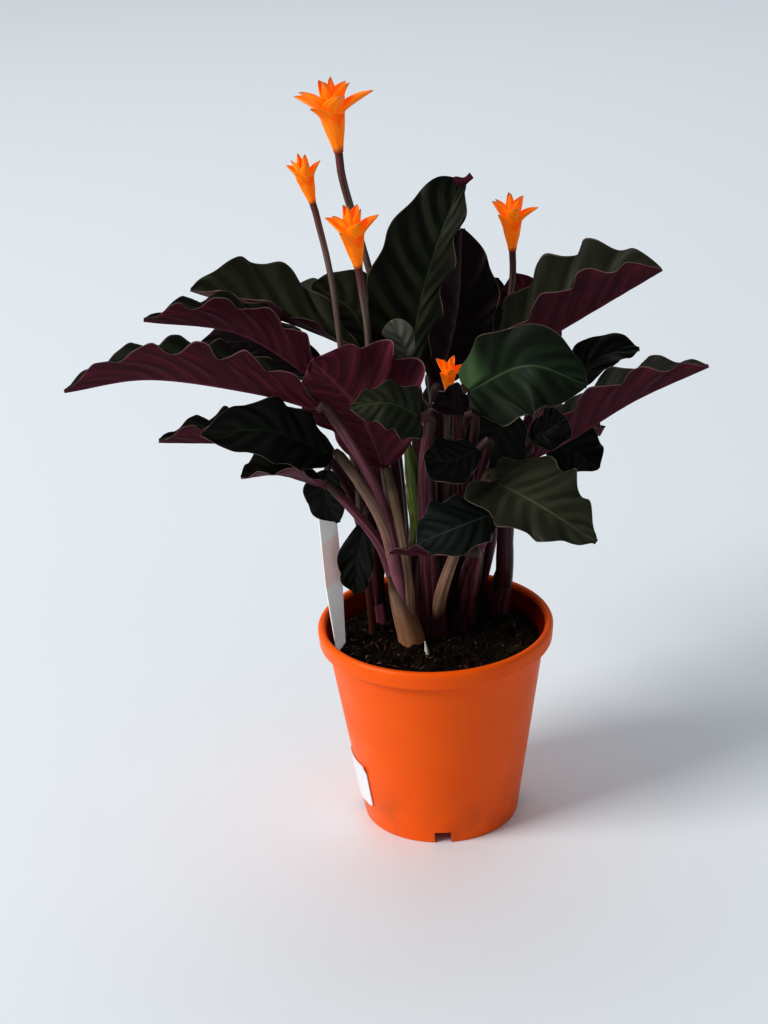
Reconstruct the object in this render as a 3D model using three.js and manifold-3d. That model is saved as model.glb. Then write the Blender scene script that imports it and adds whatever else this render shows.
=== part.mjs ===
// Eternal flame calathea (Goeppertia crocata) growing in an orange nursery pot.
// Millimetres, +Z up. The origin is on the pot's axis, on the surface that the pot stands on.
import * as THREE from 'three';
import { mergeVertices } from 'three/addons/utils/BufferGeometryUtils.js';
import Module from 'manifold-3d';

const wasm = await Module();
wasm.setup();

// ---------------------------------------------------------------- driving dimensions

const FIT_GAP = 0.4; // clearance between pieces that touch

const RIM_RADIUS = 65; // a 13 cm pot, measured over the rolled lip
const POT_HEIGHT = 116.8;
const LIP_HEIGHT = 10.5;
const MOUTH_RADIUS = 60.4;
const WALL_TOP_RADIUS = 59.9;
const FOOT_RADIUS = 43.3;
const POT_WALL = 1.8;
const DRAIN_NOTCHES = 4;
const NOTCH_WIDTH = 9;
const NOTCH_HEIGHT = 7;
const DRAIN_HOLE_RADIUS = 3.2;

const SOIL_LEVEL = 107; // mean height of the potting mix
const SOIL_RELIEF = 2.2;
const STALK_DEPTH = 20; // how far the stalks go down into the mix

const BLADE_THICKNESS = 0.8;
const MIDRIB_DEPTH = 1.0; // the midrib stands out this far under the blade
const STALK_SIDES = 6;
const SHEATH_SIDES = 8;
const PETIOLE_SIDES = 5;
const PETIOLE_RADIUS = 2.3;
const PULVINUS_RADIUS = 2.8; // the swollen joint right under the blade
const PULVINUS_LENGTH = 7;
const PETIOLE_BOW = 0.14; // how far a leaf stalk bows inward, as a share of its reach

// ---------------------------------------------------------------- colours

const finish = (colour, roughness, metalness = 0) =>
  new THREE.MeshStandardMaterial({ color: colour, roughness, metalness });
const ORANGE_PLASTIC = finish(0xe8641b, 0.42);
const POTTING_MIX = finish(0x1d1512, 0.95);
const WHITE_PLASTIC = finish(0xf2f0ef, 0.4);
const WHITE_PAPER = finish(0xf4f3f1, 0.6);
const LEAF = finish(0x26351f, 0.5);
const STALK = finish(0x6e3038, 0.5);
const FLOWER_STALK = finish(0x7d6a63, 0.55);
const BRACT = finish(0xf57d12, 0.5);
const YOUNG_LEAF = finish(0x9bb04a, 0.45);
const SPROUT = finish(0xe9e4d2, 0.5);

// ---------------------------------------------------------------- helpers

const vec = (point) => new THREE.Vector3(...point);
const degrees = THREE.MathUtils.degToRad;
const smoothPath = (points) => new THREE.CatmullRomCurve3(points, false, 'catmullrom', 0.5);

const group = new THREE.Group();

function addPiece(name, geometry, material) {
  const mesh = new THREE.Mesh(geometry, material);
  mesh.name = name;
  group.add(mesh);
}

function toSolid(geometry) {
  const bare = geometry.clone();
  bare.deleteAttribute('normal');
  bare.deleteAttribute('uv');
  const merged = mergeVertices(bare, 1e-4);
  return new wasm.Manifold(new wasm.Mesh({
    numProp: 3,
    vertProperties: new Float32Array(merged.attributes.position.array),
    triVerts: new Uint32Array(merged.index.array),
  }));
}

function toGeometry(solid) {
  const mesh = solid.getMesh();
  const geometry = new THREE.BufferGeometry();
  geometry.setAttribute('position', new THREE.BufferAttribute(mesh.vertProperties, mesh.numProp));
  geometry.setIndex(new THREE.BufferAttribute(mesh.triVerts, 1));
  return geometry;
}

function closedGeometry(vertices, triangles) {
  const geometry = new THREE.BufferGeometry();
  geometry.setAttribute('position', new THREE.Float32BufferAttribute(vertices.flat(), 3));
  geometry.setIndex(triangles.flat());
  return geometry;
}

// A vertical round solid of the given profile of [radius, height] points, which starts and ends on the axis.
function turned(profile, segments, x = 0, y = 0) {
  const lathe = new THREE.LatheGeometry(profile.map(([radius, z]) => new THREE.Vector2(radius, z)), segments);
  return lathe.rotateX(Math.PI / 2).translate(x, y, 0);
}

// A round stalk along a smooth path through the points, tapering evenly through the list of radii.
function stalkGeometry(points, radii, steps, sides = STALK_SIDES) {
  const path = smoothPath(points.map(vec));
  const frames = path.computeFrenetFrames(steps, false);
  const vertices = [];
  const triangles = [];
  for (let step = 0; step <= steps; step++) {
    const along = step / steps;
    const centre = path.getPointAt(along);
    const slot = Math.min(Math.floor(along * (radii.length - 1)), radii.length - 2);
    const radius = THREE.MathUtils.lerp(radii[slot], radii[slot + 1], along * (radii.length - 1) - slot);
    for (let side = 0; side < sides; side++) {
      const turn = (2 * Math.PI * side) / sides;
      const point = centre.clone()
        .addScaledVector(frames.normals[step], radius * Math.cos(turn))
        .addScaledVector(frames.binormals[step], radius * Math.sin(turn));
      vertices.push([point.x, point.y, point.z]);
      const next = (side + 1) % sides;
      if (step < steps) {
        const low = step * sides;
        const high = low + sides;
        triangles.push([low + side, low + next, high + next], [low + side, high + next, high + side]);
      }
    }
  }
  const last = steps * sides;
  for (let side = 1; side < sides - 1; side++) {
    triangles.push([0, side + 1, side], [last, last + side, last + side + 1]);
  }
  return closedGeometry(vertices, triangles);
}

// ---------------------------------------------------------------- blades

// The shape shared by leaves and bracts. The midrib runs through the points. `faces` is the way that the
// upper side looks, at the base and, where a second one is given, at the tip. Each half is folded up about
// the midrib by its own angle, and its margin is ruffled in waves. `widest` under 1 brings the widest place
// nearer the base, `blunt` under 1 makes the ends rounder, `lobe` carries the base of each half back beside
// the stalk, and `narrowest` is the half width that is left at the ends.
const BLADE_DEFAULTS = {
  faces: [[0, 0, 1]], fold: [30, 30], halves: [1, 1], widest: 0.8, blunt: 0.72,
  waves: 4, ruffle: 2, scallop: [0.07, 0.07], phase: [0, 90], lobe: 0, sweep: 6, narrowest: 1.6,
};
const SCALLOP_LAG = 1.2; // radians between the ruffle and the scalloped outline
const LOBE_REACH = 0.3; // share of the blade's length that the base lobes take

function bladePoint(blade, path, along, across) {
  const middle = path.getPointAt(along);
  const forward = path.getTangentAt(along);
  const first = vec(blade.faces[0]);
  const up = first.lerp(vec(blade.faces[blade.faces.length - 1]), along);
  up.addScaledVector(forward, -up.dot(forward)).normalize();
  const side = new THREE.Vector3().crossVectors(forward, up);
  const half = across > 0 ? 1 : 0;
  const out = Math.abs(across);
  const outline = along >= 1 ? 0 : Math.sin(Math.PI * along ** blade.widest) ** blade.blunt;
  const wave = 2 * Math.PI * blade.waves * along + degrees(blade.phase[half]);
  const full = Math.max(blade.halfWidth * outline * blade.halves[half], blade.narrowest);
  const width = full * out * (1 + blade.scallop[half] * out * Math.sin(wave + SCALLOP_LAG));
  const belly = Math.max(Math.sin(Math.PI * along), 0);
  const lift = blade.ruffle * out ** 2.2 * Math.sin(wave) * belly ** 0.4;
  const fold = degrees(blade.fold[half]);
  const nearBase = Math.max(1 - along / LOBE_REACH, 0) ** 1.2;
  const back = blade.lobe * out ** 1.3 * outline * nearBase;
  return middle
    .addScaledVector(side, Math.sign(across) * width * Math.cos(fold))
    .addScaledVector(up, width * Math.sin(fold) + lift)
    .addScaledVector(forward, blade.sweep * out * belly - back);
}

function bladeGeometry(shape, stations, thickness, midribDepth) {
  const blade = { ...BLADE_DEFAULTS, ...shape };
  const path = smoothPath(blade.midrib.map(vec));
  const rows = [];
  for (let station = 0; station <= stations; station++) {
    rows.push([-1, 0, 1].map((across) => bladePoint(blade, path, station / stations, across)));
  }
  const upper = [];
  const lower = [];
  rows.forEach((row, station) => {
    const before = rows[Math.max(station - 1, 0)];
    const after = rows[Math.min(station + 1, stations)];
    row.forEach((point, column) => {
      const alongWay = new THREE.Vector3().subVectors(after[column], before[column]);
      const outward = row[Math.min(column + 1, 2)];
      const inward = row[Math.max(column - 1, 0)];
      const acrossWay = new THREE.Vector3().subVectors(outward, inward);
      const normal = new THREE.Vector3().crossVectors(acrossWay, alongWay).normalize();
      const depth = thickness / 2 + (column === 1 ? midribDepth : 0);
      const above = point.clone().addScaledVector(normal, thickness / 2);
      const below = point.clone().addScaledVector(normal, -depth);
      upper.push([above.x, above.y, above.z]);
      lower.push([below.x, below.y, below.z]);
    });
  });
  const shift = upper.length; // from a vertex of the upper side to the one below it
  const triangles = [];
  const quad = (a, b, c, d) => triangles.push([a, b, c], [a, c, d]);
  for (let station = 0; station < stations; station++) {
    const here = station * 3;
    const next = here + 3;
    // Both sides split each quad along the same diagonal, so that a ruffle can't make them cross.
    triangles.push([here, here + 1, next + 1], [here, next + 1, next]);
    triangles.push([here + 1, here + 2, next + 1], [here + 2, next + 2, next + 1]);
    triangles.push([here + shift, next + 1 + shift, here + 1 + shift]);
    triangles.push([here + shift, next + shift, next + 1 + shift]);
    triangles.push([here + 1 + shift, next + 1 + shift, here + 2 + shift]);
    triangles.push([here + 2 + shift, next + 1 + shift, next + 2 + shift]);
    quad(here, next, next + shift, here + shift);
    quad(here + 2, here + 2 + shift, next + 2 + shift, next + 2);
  }
  const tip = stations * 3;
  for (const column of [0, 1]) {
    quad(column, column + shift, column + 1 + shift, column + 1);
    quad(tip + column, tip + column + 1, tip + column + 1 + shift, tip + column + shift);
  }
  return closedGeometry([...upper, ...lower], triangles);
}

// ---------------------------------------------------------------- pot

// The wall, the rolled lip and the floor are one moulding. The floor stands on its middle pad and on the foot
// ring, with a drain channel between them.
const PAD_RADIUS = 27;
const CHANNEL_HEIGHT = 5;
const CHANNEL_OUTER = 39.5;
const FLOOR = 2.2;
const LIP_FOLD = 1.6; // radius of the rolled edge
const POT_SEGMENTS = 40;
const wallRadius = (z) => THREE.MathUtils.lerp(FOOT_RADIUS, WALL_TOP_RADIUS, z / (POT_HEIGHT - LIP_HEIGHT));
const POT_PROFILE = [
  [0, 0], [PAD_RADIUS, 0], [PAD_RADIUS + 1.5, CHANNEL_HEIGHT], [CHANNEL_OUTER, CHANNEL_HEIGHT],
  [CHANNEL_OUTER + 1.5, 0], [FOOT_RADIUS, 0],
  [WALL_TOP_RADIUS, POT_HEIGHT - LIP_HEIGHT], [RIM_RADIUS - 0.6, POT_HEIGHT - LIP_HEIGHT + 0.8],
  [RIM_RADIUS, POT_HEIGHT - LIP_FOLD], [RIM_RADIUS - LIP_FOLD, POT_HEIGHT],
  [MOUTH_RADIUS + 1, POT_HEIGHT], [MOUTH_RADIUS, POT_HEIGHT - LIP_FOLD],
  [WALL_TOP_RADIUS - POT_WALL, POT_HEIGHT - LIP_HEIGHT],
  [wallRadius(CHANNEL_HEIGHT + FLOOR) - POT_WALL, CHANNEL_HEIGHT + FLOOR],
  [0, CHANNEL_HEIGHT + FLOOR],
];
let pot = toSolid(turned(POT_PROFILE, POT_SEGMENTS));
for (let notch = 0; notch < DRAIN_NOTCHES; notch++) {
  const turn = (2 * Math.PI * notch) / DRAIN_NOTCHES - Math.PI / 2;
  const cut = new THREE.BoxGeometry(10, NOTCH_WIDTH, 2 * NOTCH_HEIGHT).translate(FOOT_RADIUS - 1.5, 0, 0);
  const hole = new THREE.CylinderGeometry(DRAIN_HOLE_RADIUS, DRAIN_HOLE_RADIUS, 10, 12).rotateX(Math.PI / 2)
    .translate((PAD_RADIUS + CHANNEL_OUTER) / 2 + 0.7, 0, CHANNEL_HEIGHT + 1);
  pot = pot.subtract(toSolid(cut.rotateZ(turn)));
  pot = pot.subtract(toSolid(hole.rotateZ(turn + Math.PI / DRAIN_NOTCHES)));
}
addPiece('pot', toGeometry(pot), ORANGE_PLASTIC);

// ---------------------------------------------------------------- leaves

// For each blade, where its midrib runs, which way it looks, and its outline. They go round the plant from
// the long one on the left, over the top, to the small ones low in front, and then behind.
const LEAVES = {
  leaf_01: {
    midrib: [[-56, -45, 261], [-89, -50, 274], [-139, -58, 286], [-182, -60, 281]],
    faces: [[0, 0.15, 1]], halfWidth: 23, fold: [58, 50], waves: 5.5, ruffle: 2.8, phase: [200, 60],
  },
  leaf_02: {
    midrib: [[-53, -12, 261], [-95, -18, 294], [-144, -22, 304]], faces: [[0, 0.1, 1]], halfWidth: 20,
    fold: [58, 52], waves: 5, ruffle: 2.4, phase: [20, 60],
  },
  leaf_03: {
    midrib: [[-34, 22, 267], [-74, 22, 286], [-123, 18, 306]], faces: [[0, -0.75, 1]], halfWidth: 24,
    fold: [73, 12], halves: [0.85, 1.2], waves: 4, ruffle: 2.4, phase: [20, 60], widest: 1.2,
  },
  leaf_04: {
    midrib: [[-54, 5, 262], [-86, 8, 279], [-120, 10, 278]], faces: [[0, 0.9, -0.1]], halfWidth: 14,
    fold: [10, 10], waves: 4, ruffle: 1.5,
  },
  leaf_05: {
    midrib: [[-56, 16, 249], [-85, 24, 261], [-115, 30, 263]], faces: [[0, 0.2, 1]], halfWidth: 18,
    fold: [50, 50], waves: 4, ruffle: 1.5,
  },
  leaf_06: {
    midrib: [[-50, -42, 234], [-81, -62, 257], [-114, -69, 259]], faces: [[-0.1, -0.8, 0.8]],
    halfWidth: 17, fold: [12, 12], halves: [1.1, 1], waves: 3.5, ruffle: 2, widest: 0.85, sweep: 2,
  },
  leaf_07: {
    midrib: [[-63, -10, 230], [-104, -18, 234], [-141, -25, 238]], faces: [[0, 0.1, 1]], halfWidth: 17,
    fold: [55, 50], waves: 4, ruffle: 2.6,
  },
  leaf_08: {
    midrib: [[-57, -28, 211], [-78, -38, 223], [-98, -42, 223]], faces: [[0, -0.35, 1]], halfWidth: 16,
    fold: [46, 30], waves: 3, ruffle: 2,
  },
  leaf_09: {
    midrib: [[-54, -15, 215], [-56, -17, 200], [-50, -15, 184]], faces: [[-0.1, -1, 0.2]],
    halfWidth: 11, fold: [10, 10], waves: 2.5, ruffle: 1.2, sweep: 0,
  },
  leaf_10: {
    midrib: [[-35, -6, 181], [-41, -9, 159], [-43, -6, 137]], faces: [[-0.2, -1, 0.1]], halfWidth: 10,
    fold: [15, 15], waves: 2.5, ruffle: 1.2,
  },
  leaf_11: {
    midrib: [[-4, -50, 257], [-20, -60, 269], [-39, -62, 268]], faces: [[0.1, -0.8, 0.6]],
    halfWidth: 13, fold: [10, 12], halves: [1.25, 0.9], waves: 3.5, ruffle: 1.8, scallop: [0.12, 0.12],
    widest: 0.6, blunt: 0.6, lobe: 7, sweep: 0,
  },
  leaf_12: {
    midrib: [[-24, -27, 220], [-36, -29, 254], [-58, -31, 283]], faces: [[0.1, 0.95, 0.3]],
    halfWidth: 28, fold: [12, 12], halves: [1.35, 1], waves: 4.5, ruffle: 3, scallop: [0.1, 0.13],
    widest: 1, lobe: 12,
  },
  leaf_13: {
    midrib: [[-29, 45, 258], [-40, 50, 281], [-60, 52, 296]], faces: [[0, -0.9, 0.5]], halfWidth: 20,
    fold: [10, 10], waves: 3, ruffle: 1.8,
  },
  leaf_14: {
    midrib: [[-10, -5, 273], [-13, -8, 285], [-18, -8, 294]], faces: [[0, -1, 0.2]], halfWidth: 8,
    fold: [20, 20], waves: 1.5, ruffle: 0.8, blunt: 0.5,
  },
  leaf_15: {
    midrib: [[-9, 5, 258], [-3, 8, 294], [8, 16, 327], [17, 24, 347], [22, 32, 356]],
    faces: [[0.1, -1, 0.25]], halfWidth: 30, fold: [10, 45], halves: [1, 0.45], waves: 4.5, ruffle: 2.8,
    phase: [0, 144], scallop: [0.05, 0.22], widest: 0.85, blunt: 0.45, sweep: 0,
  },
  leaf_16: {
    midrib: [[7, 32, 242], [18, 40, 282], [22, 52, 324]], faces: [[0, 1, 0.3]], halfWidth: 23,
    fold: [15, 15], waves: 3.5, ruffle: 2.6,
  },
  leaf_17: {
    midrib: [[32, 15, 254], [77, 10, 283], [124, 2, 313]], faces: [[0, -0.2, 1]], halfWidth: 27,
    fold: [55, 72], halves: [1.3, 1], waves: 4.5, ruffle: 2.8, widest: 1.05, blunt: 0.62,
  },
  leaf_18: {
    midrib: [[21, -25, 260], [51, -46, 281], [81, -48, 270]], faces: [[0, -0.9, 0.45]], halfWidth: 24,
    fold: [10, 10], halves: [0.9, 1.12], waves: 3.5, ruffle: 2, widest: 0.74, lobe: 11,
  },
  leaf_19: {
    midrib: [[74, 40, 233], [95, 45, 251], [116, 42, 255]], faces: [[0, -0.6, 0.8]], halfWidth: 12,
    fold: [10, 20], waves: 3, ruffle: 1.6,
  },
  leaf_20: {
    midrib: [[57, 15, 205], [77, 12, 217], [110, 4, 241], [148, -4, 261]], faces: [[0, 0.1, 1]],
    halfWidth: 21, fold: [58, 52], waves: 4.5, ruffle: 2.2,
  },
  leaf_21: {
    midrib: [[63, 30, 205], [79, 28, 203], [92, 20, 195]], faces: [[0.2, -0.7, 0.6]], halfWidth: 16,
    fold: [10, 10], waves: 2.5, ruffle: 1.4, sweep: 2,
  },
  leaf_22: {
    midrib: [[34, -35, 213], [56, -62, 210], [83, -78, 196]], faces: [[0.1, -0.55, 0.8]], halfWidth: 27,
    fold: [8, 8], halves: [1, 0.9], waves: 4, ruffle: 2.2, scallop: [0.1, 0.1], widest: 0.72,
    blunt: 0.8, lobe: 38, sweep: 0,
  },
  leaf_23: {
    midrib: [[33, -46, 200], [13, -60, 199], [-8, -66, 193]], faces: [[-0.1, -0.6, 0.8]], halfWidth: 18,
    fold: [10, 10], waves: 3.5, ruffle: 1.6, scallop: [0.08, 0.08],
  },
  leaf_24: {
    midrib: [[30, 62, 239], [36, 64, 264], [40, 66, 291]], faces: [[0, -1, 0.2]], halfWidth: 13,
    fold: [10, 10], waves: 2.5, ruffle: 1.2,
  },
  leaf_25: {
    midrib: [[71, 48, 254], [57, 52, 275], [49, 54, 297]], faces: [[0, 1, 0.2]], halfWidth: 14,
    fold: [10, 10], waves: 2.5, ruffle: 1.2,
  },
  leaf_26: {
    midrib: [[19, -36, 252], [10, -39, 259], [3, -42, 261]], faces: [[0, 0.8, 0.6]], halfWidth: 13,
    fold: [15, 15], waves: 2.5, ruffle: 1.6,
  },
  leaf_27: {
    midrib: [[25, -38, 233], [10, -46, 230], [-3, -48, 234]], faces: [[0, -0.7, 0.7]], halfWidth: 14,
    fold: [10, 10], waves: 2.5, ruffle: 1.4,
  },
  leaf_28: {
    midrib: [[16, -38, 174], [-4, -48, 179], [-23, -54, 183]], faces: [[0, 0.6, 1]], halfWidth: 9,
    fold: [25, 25], waves: 2.5, ruffle: 1.2,
  },
  leaf_29: {
    midrib: [[44, 1, 238], [36, -2, 223], [26, -6, 208]], faces: [[0, -1, 0.3]], halfWidth: 17.5,
    fold: [10, 10], waves: 2.5, ruffle: 1.4, blunt: 0.5,
  },
  leaf_30: {
    midrib: [[54, -1, 224], [63, -6, 229], [73, -6, 236]], faces: [[0, -0.8, 0.5]], halfWidth: 11,
    fold: [10, 10], waves: 2.5, ruffle: 1.4,
  },
  leaf_31: {
    midrib: [[-26, 58, 238], [-60, 90, 262], [-92, 116, 252]], faces: [[0.3, -0.3, 1]], halfWidth: 24,
    fold: [50, 50], waves: 4.5, ruffle: 2.6,
  },
  leaf_32: {
    midrib: [[2, 68, 242], [-6, 106, 264], [-14, 142, 256]], faces: [[0, -0.2, 1]], halfWidth: 25,
    fold: [48, 48], waves: 4.5, ruffle: 2.6, phase: [40, 100],
  },
  leaf_33: {
    midrib: [[36, 66, 232], [66, 96, 256], [94, 124, 248]], faces: [[-0.3, -0.3, 1]], halfWidth: 24,
    fold: [50, 50], waves: 4.5, ruffle: 2.6,
  },
  leaf_34: {
    midrib: [[12, 66, 196], [18, 102, 206], [24, 136, 190]], faces: [[0, -0.1, 1]], halfWidth: 22,
    fold: [30, 30], waves: 4, ruffle: 2.4, phase: [70, 10],
  },
  leaf_35: {
    midrib: [[-30, 50, 196], [-58, 78, 206], [-84, 100, 192]], faces: [[0.2, -0.2, 1]], halfWidth: 21,
    fold: [30, 30], waves: 4, ruffle: 2.4,
  },
  leaf_36: {
    midrib: [[50, 62, 190], [76, 84, 196], [98, 104, 180]], faces: [[-0.2, -0.2, 1]], halfWidth: 19,
    fold: [25, 25], waves: 3.5, ruffle: 2.2,
  },
};
const STATIONS_PER_WAVE = 3.6;
const FEWEST_STATIONS = 9;
for (const [name, shape] of Object.entries(LEAVES)) {
  const waves = shape.waves ?? BLADE_DEFAULTS.waves;
  const stations = Math.max(Math.round(waves * STATIONS_PER_WAVE) + 1, FEWEST_STATIONS);
  addPiece(name, bladeGeometry(shape, stations, BLADE_THICKNESS, MIDRIB_DEPTH), LEAF);
}

// ---------------------------------------------------------------- shoots

// Each shoot is a clump of leaf stalks whose sheathing bases have grown together above one foot in the soil.
const SHOOTS = {
  shoot_front: {
    foot: [-13, -9], radius: 6.2, sheathTop: [-24, -18, 152],
    leaves: { leaf_01: null, leaf_06: null, leaf_12: null, leaf_08: null },
  },
  shoot_left: {
    foot: [-31, 26], radius: 6.2, sheathTop: [-33, 22, 146],
    leaves: { leaf_02: [-29, 8, 205], leaf_07: null, leaf_10: null, leaf_05: null, leaf_09: null },
  },
  shoot_middle: {
    foot: [-2, 4], radius: 8.5, sheathTop: [-1, -1, 160],
    leaves: {
      leaf_15: [-3, 15, 200], leaf_11: [-3, -27, 212], leaf_14: [-3, -7, 222],
      leaf_22: [6, -20, 150],
    },
  },
  shoot_right: {
    foot: [15, 13], radius: 8, sheathTop: [18, 8, 156],
    leaves: {
      leaf_18: null, leaf_23: null, leaf_28: null, leaf_17: null, leaf_27: null,
      leaf_26: null, leaf_29: null,
    },
  },
  shoot_far_right: {
    foot: [36, 30], radius: 7, sheathTop: [44, 28, 150],
    leaves: { leaf_30: null, leaf_20: null, leaf_21: null },
  },
  shoot_back_left: {
    foot: [-15, 36], radius: 6, sheathTop: [-20, 38, 150],
    leaves: { leaf_03: null, leaf_04: null, leaf_13: null, leaf_31: null, leaf_35: null },
  },
  shoot_back: {
    foot: [9, 42], radius: 6, sheathTop: [10, 48, 155],
    leaves: { leaf_16: null, leaf_32: null, leaf_34: null, leaf_24: null },
  },
  shoot_back_right: {
    foot: [24, 44], radius: 5.6, sheathTop: [34, 46, 150],
    leaves: { leaf_19: null, leaf_25: null, leaf_33: null, leaf_36: null },
  },
};

// A leaf stalk leaves its shoot nearly upright, and its swollen joint turns into line with the blade that it
// carries. Where another piece is in the way, it goes round by the point `via`.
function petiolePoints(shoot, midrib, via) {
  const [x, y] = shoot.foot;
  const end = vec(midrib[0]);
  const forward = smoothPath(midrib.map(vec)).getTangentAt(0);
  const outward = new THREE.Vector3(end.x - x, end.y - y, 0).normalize();
  const start = new THREE.Vector3(x, y, SOIL_LEVEL + 5).addScaledVector(outward, shoot.radius * 0.4);
  const joint = end.clone().addScaledVector(forward, -PULVINUS_LENGTH);
  const middle = via ? vec(via) : start.clone().lerp(joint, 0.5)
    .addScaledVector(outward, -PETIOLE_BOW * Math.hypot(end.x - x, end.y - y))
    .add(new THREE.Vector3(0, 0, PETIOLE_BOW * (end.z - SOIL_LEVEL) * 0.5));
  const seat = end.addScaledVector(forward, -FIT_GAP);
  return [start, middle, joint, seat].map((point) => point.toArray());
}

const PETIOLE_RADII = [
  1.6 * PETIOLE_RADIUS, 1.2 * PETIOLE_RADIUS, PETIOLE_RADIUS, PULVINUS_RADIUS, PETIOLE_RADIUS,
];
const SHEATH_SHARES = [0.85, 1, 0.95, 0.8, 0.3]; // of the shoot's radius, from its foot to its top
const footHoles = [];
function sinkFoot(x, y, radius) {
  footHoles.push([x, y, radius + FIT_GAP * 1.5]);
}

for (const [name, shoot] of Object.entries(SHOOTS)) {
  const [x, y] = shoot.foot;
  const sheathTop = shoot.sheathTop;
  let solid = toSolid(stalkGeometry(
    [[x, y, SOIL_LEVEL - STALK_DEPTH], [x, y, SOIL_LEVEL + 3], sheathTop],
    SHEATH_SHARES.map((share) => shoot.radius * share), SHEATH_SHARES.length - 1, SHEATH_SIDES,
  ));
  for (const [leaf, via] of Object.entries(shoot.leaves)) {
    const points = petiolePoints(shoot, LEAVES[leaf].midrib, via);
    solid = solid.add(toSolid(stalkGeometry(points, PETIOLE_RADII, 6, PETIOLE_SIDES)));
  }
  addPiece(name, toGeometry(solid), STALK);
  sinkFoot(x, y, shoot.radius * 1.09);
}

// ---------------------------------------------------------------- flowers

// A flower stalk carries a narrow funnel of pointed bracts in a spiral. `size` is the head's height and its
// width over the tips.
const FLOWERS = {
  flower_1: {
    stalk: [[-8, 18], [-14, 16, 240], [-27, 12, 311], [-39, 14, 361], [-41, 15, 378]],
    size: [39, 48], bracts: 11, turn: 95,
  },
  flower_2: {
    stalk: [[-35, 7], [-42, -1, 236], [-47, 1, 309], [-53, 0, 347], [-55, 0, 356]],
    size: [27, 21], bracts: 9, turn: 100,
  },
  flower_3: {
    stalk: [[-17, 4], [-28, -4, 249], [-30, -7, 292], [-32, -9, 315], [-33, -10, 324]],
    size: [35, 32], bracts: 10, turn: 101,
  },
  flower_4: {
    stalk: [[22, 29], [36, 38, 220], [46, 40, 286], [48, 40, 302], [48, 40, 314]],
    size: [32, 30], bracts: 10, turn: 84,
  },
  flower_5: {
    stalk: [[6, 19], [8, 16, 180], [10, 2, 230], [11, -5, 252]],
    size: [23, 20], bracts: 8, turn: 90,
  },
};
const GOLDEN_ANGLE = degrees(137.5);
const FUNNEL_SIDES = 8;
const LOWEST_SPREAD = 0.62; // of the head's half width, for the two lowest bracts
const FLOWER_STALK_RADIUS = 2.0;

// The bracts lie over each other in a closed funnel, and only their pointed tips stand free, turned outward
// at several heights.
function bloomGeometry(size, bracts, firstTurn) {
  const [height, width] = size;
  const funnel = [[0, 0], [0.06, 0], [0.12, 0.22], [0.17, 0.42], [0.225, 0.6], [0.1, 0.66], [0, 0.66]];
  const body = funnel.map(([radius, z]) => [radius * height, z * height]);
  let head = toSolid(turned(body, FUNNEL_SIDES));
  for (let bract = 0; bract < bracts; bract++) {
    const inward = bract / (bracts - 1); // 0 for the outermost bract, 1 for the innermost
    const turn = firstTurn + bract * GOLDEN_ANGLE;
    const spread = bract < 2 ? LOWEST_SPREAD : 1 - 0.9 * inward ** 1.8;
    const rise = height * (0.58 + 0.42 * inward ** 0.65);
    const [cos, sin] = [Math.cos(turn), Math.sin(turn)];
    const place = (radius, z) => [radius * cos, radius * sin, z];
    const shape = {
      midrib: [
        place(height * (0.11 - 0.06 * inward), height * (0.34 + 0.26 * inward)),
        place(height * (0.2 - 0.1 * inward), height * (0.48 + 0.24 * inward)),
        place((width / 2) * spread, rise),
      ],
      faces: [[-cos, -sin, 0.15]],
      halfWidth: height * 0.16, fold: [30, 30], widest: 0.9, blunt: 1, narrowest: 0.4,
      waves: 0, ruffle: 0, scallop: [0, 0], sweep: 0,
    };
    head = head.add(toSolid(bladeGeometry(shape, 2, 0.9, 0)));
  }
  return toGeometry(head);
}

for (const [name, flower] of Object.entries(FLOWERS)) {
  const [x, y] = flower.stalk[0];
  const top = vec(flower.stalk[flower.stalk.length - 1]);
  const under = vec(flower.stalk[flower.stalk.length - 2]);
  const axis = top.clone().sub(under).normalize();
  const path = [[x, y, SOIL_LEVEL - STALK_DEPTH], [x, y, SOIL_LEVEL + 6], ...flower.stalk.slice(1)];
  const radii = [2.3, FLOWER_STALK_RADIUS, 1.8];
  addPiece(`${name}_stalk`, stalkGeometry(path, radii, 9, PETIOLE_SIDES), FLOWER_STALK);
  sinkFoot(x, y, 2.5);
  const upright = new THREE.Quaternion().setFromUnitVectors(new THREE.Vector3(0, 0, 1), axis);
  const seat = top.clone().addScaledVector(axis, FIT_GAP);
  const head = bloomGeometry(flower.size, flower.bracts, degrees(flower.turn));
  addPiece(`${name}_head`, head.applyQuaternion(upright).translate(seat.x, seat.y, seat.z), BRACT);
}

// ---------------------------------------------------------------- young growth

// A leaf that is still rolled up, and a sprout that has only just broken the soil.
const ROLLED_LEAF = [
  [-13, 10, SOIL_LEVEL - 12], [-13, 8, 140], [-7, 4, 175], [-9, 0, 201], [-12, -3, 228],
];
addPiece('rolled_leaf', stalkGeometry(ROLLED_LEAF, [1.4, 1.4, 2, 4, 5.4, 4.6, 1], 10), YOUNG_LEAF);
sinkFoot(-13, 10, 2.2);

const SPROUT_FOOT = [-5, -25];
const SPROUT_PATH = [
  [...SPROUT_FOOT, SOIL_LEVEL - 8], [...SPROUT_FOOT, SOIL_LEVEL], [-6, -25, SOIL_LEVEL + 9],
];
addPiece('sprout', stalkGeometry(SPROUT_PATH, [1.4, 1.5, 0.5], 4), SPROUT);
sinkFoot(...SPROUT_FOOT, 1.7);

// ---------------------------------------------------------------- plant label

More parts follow.
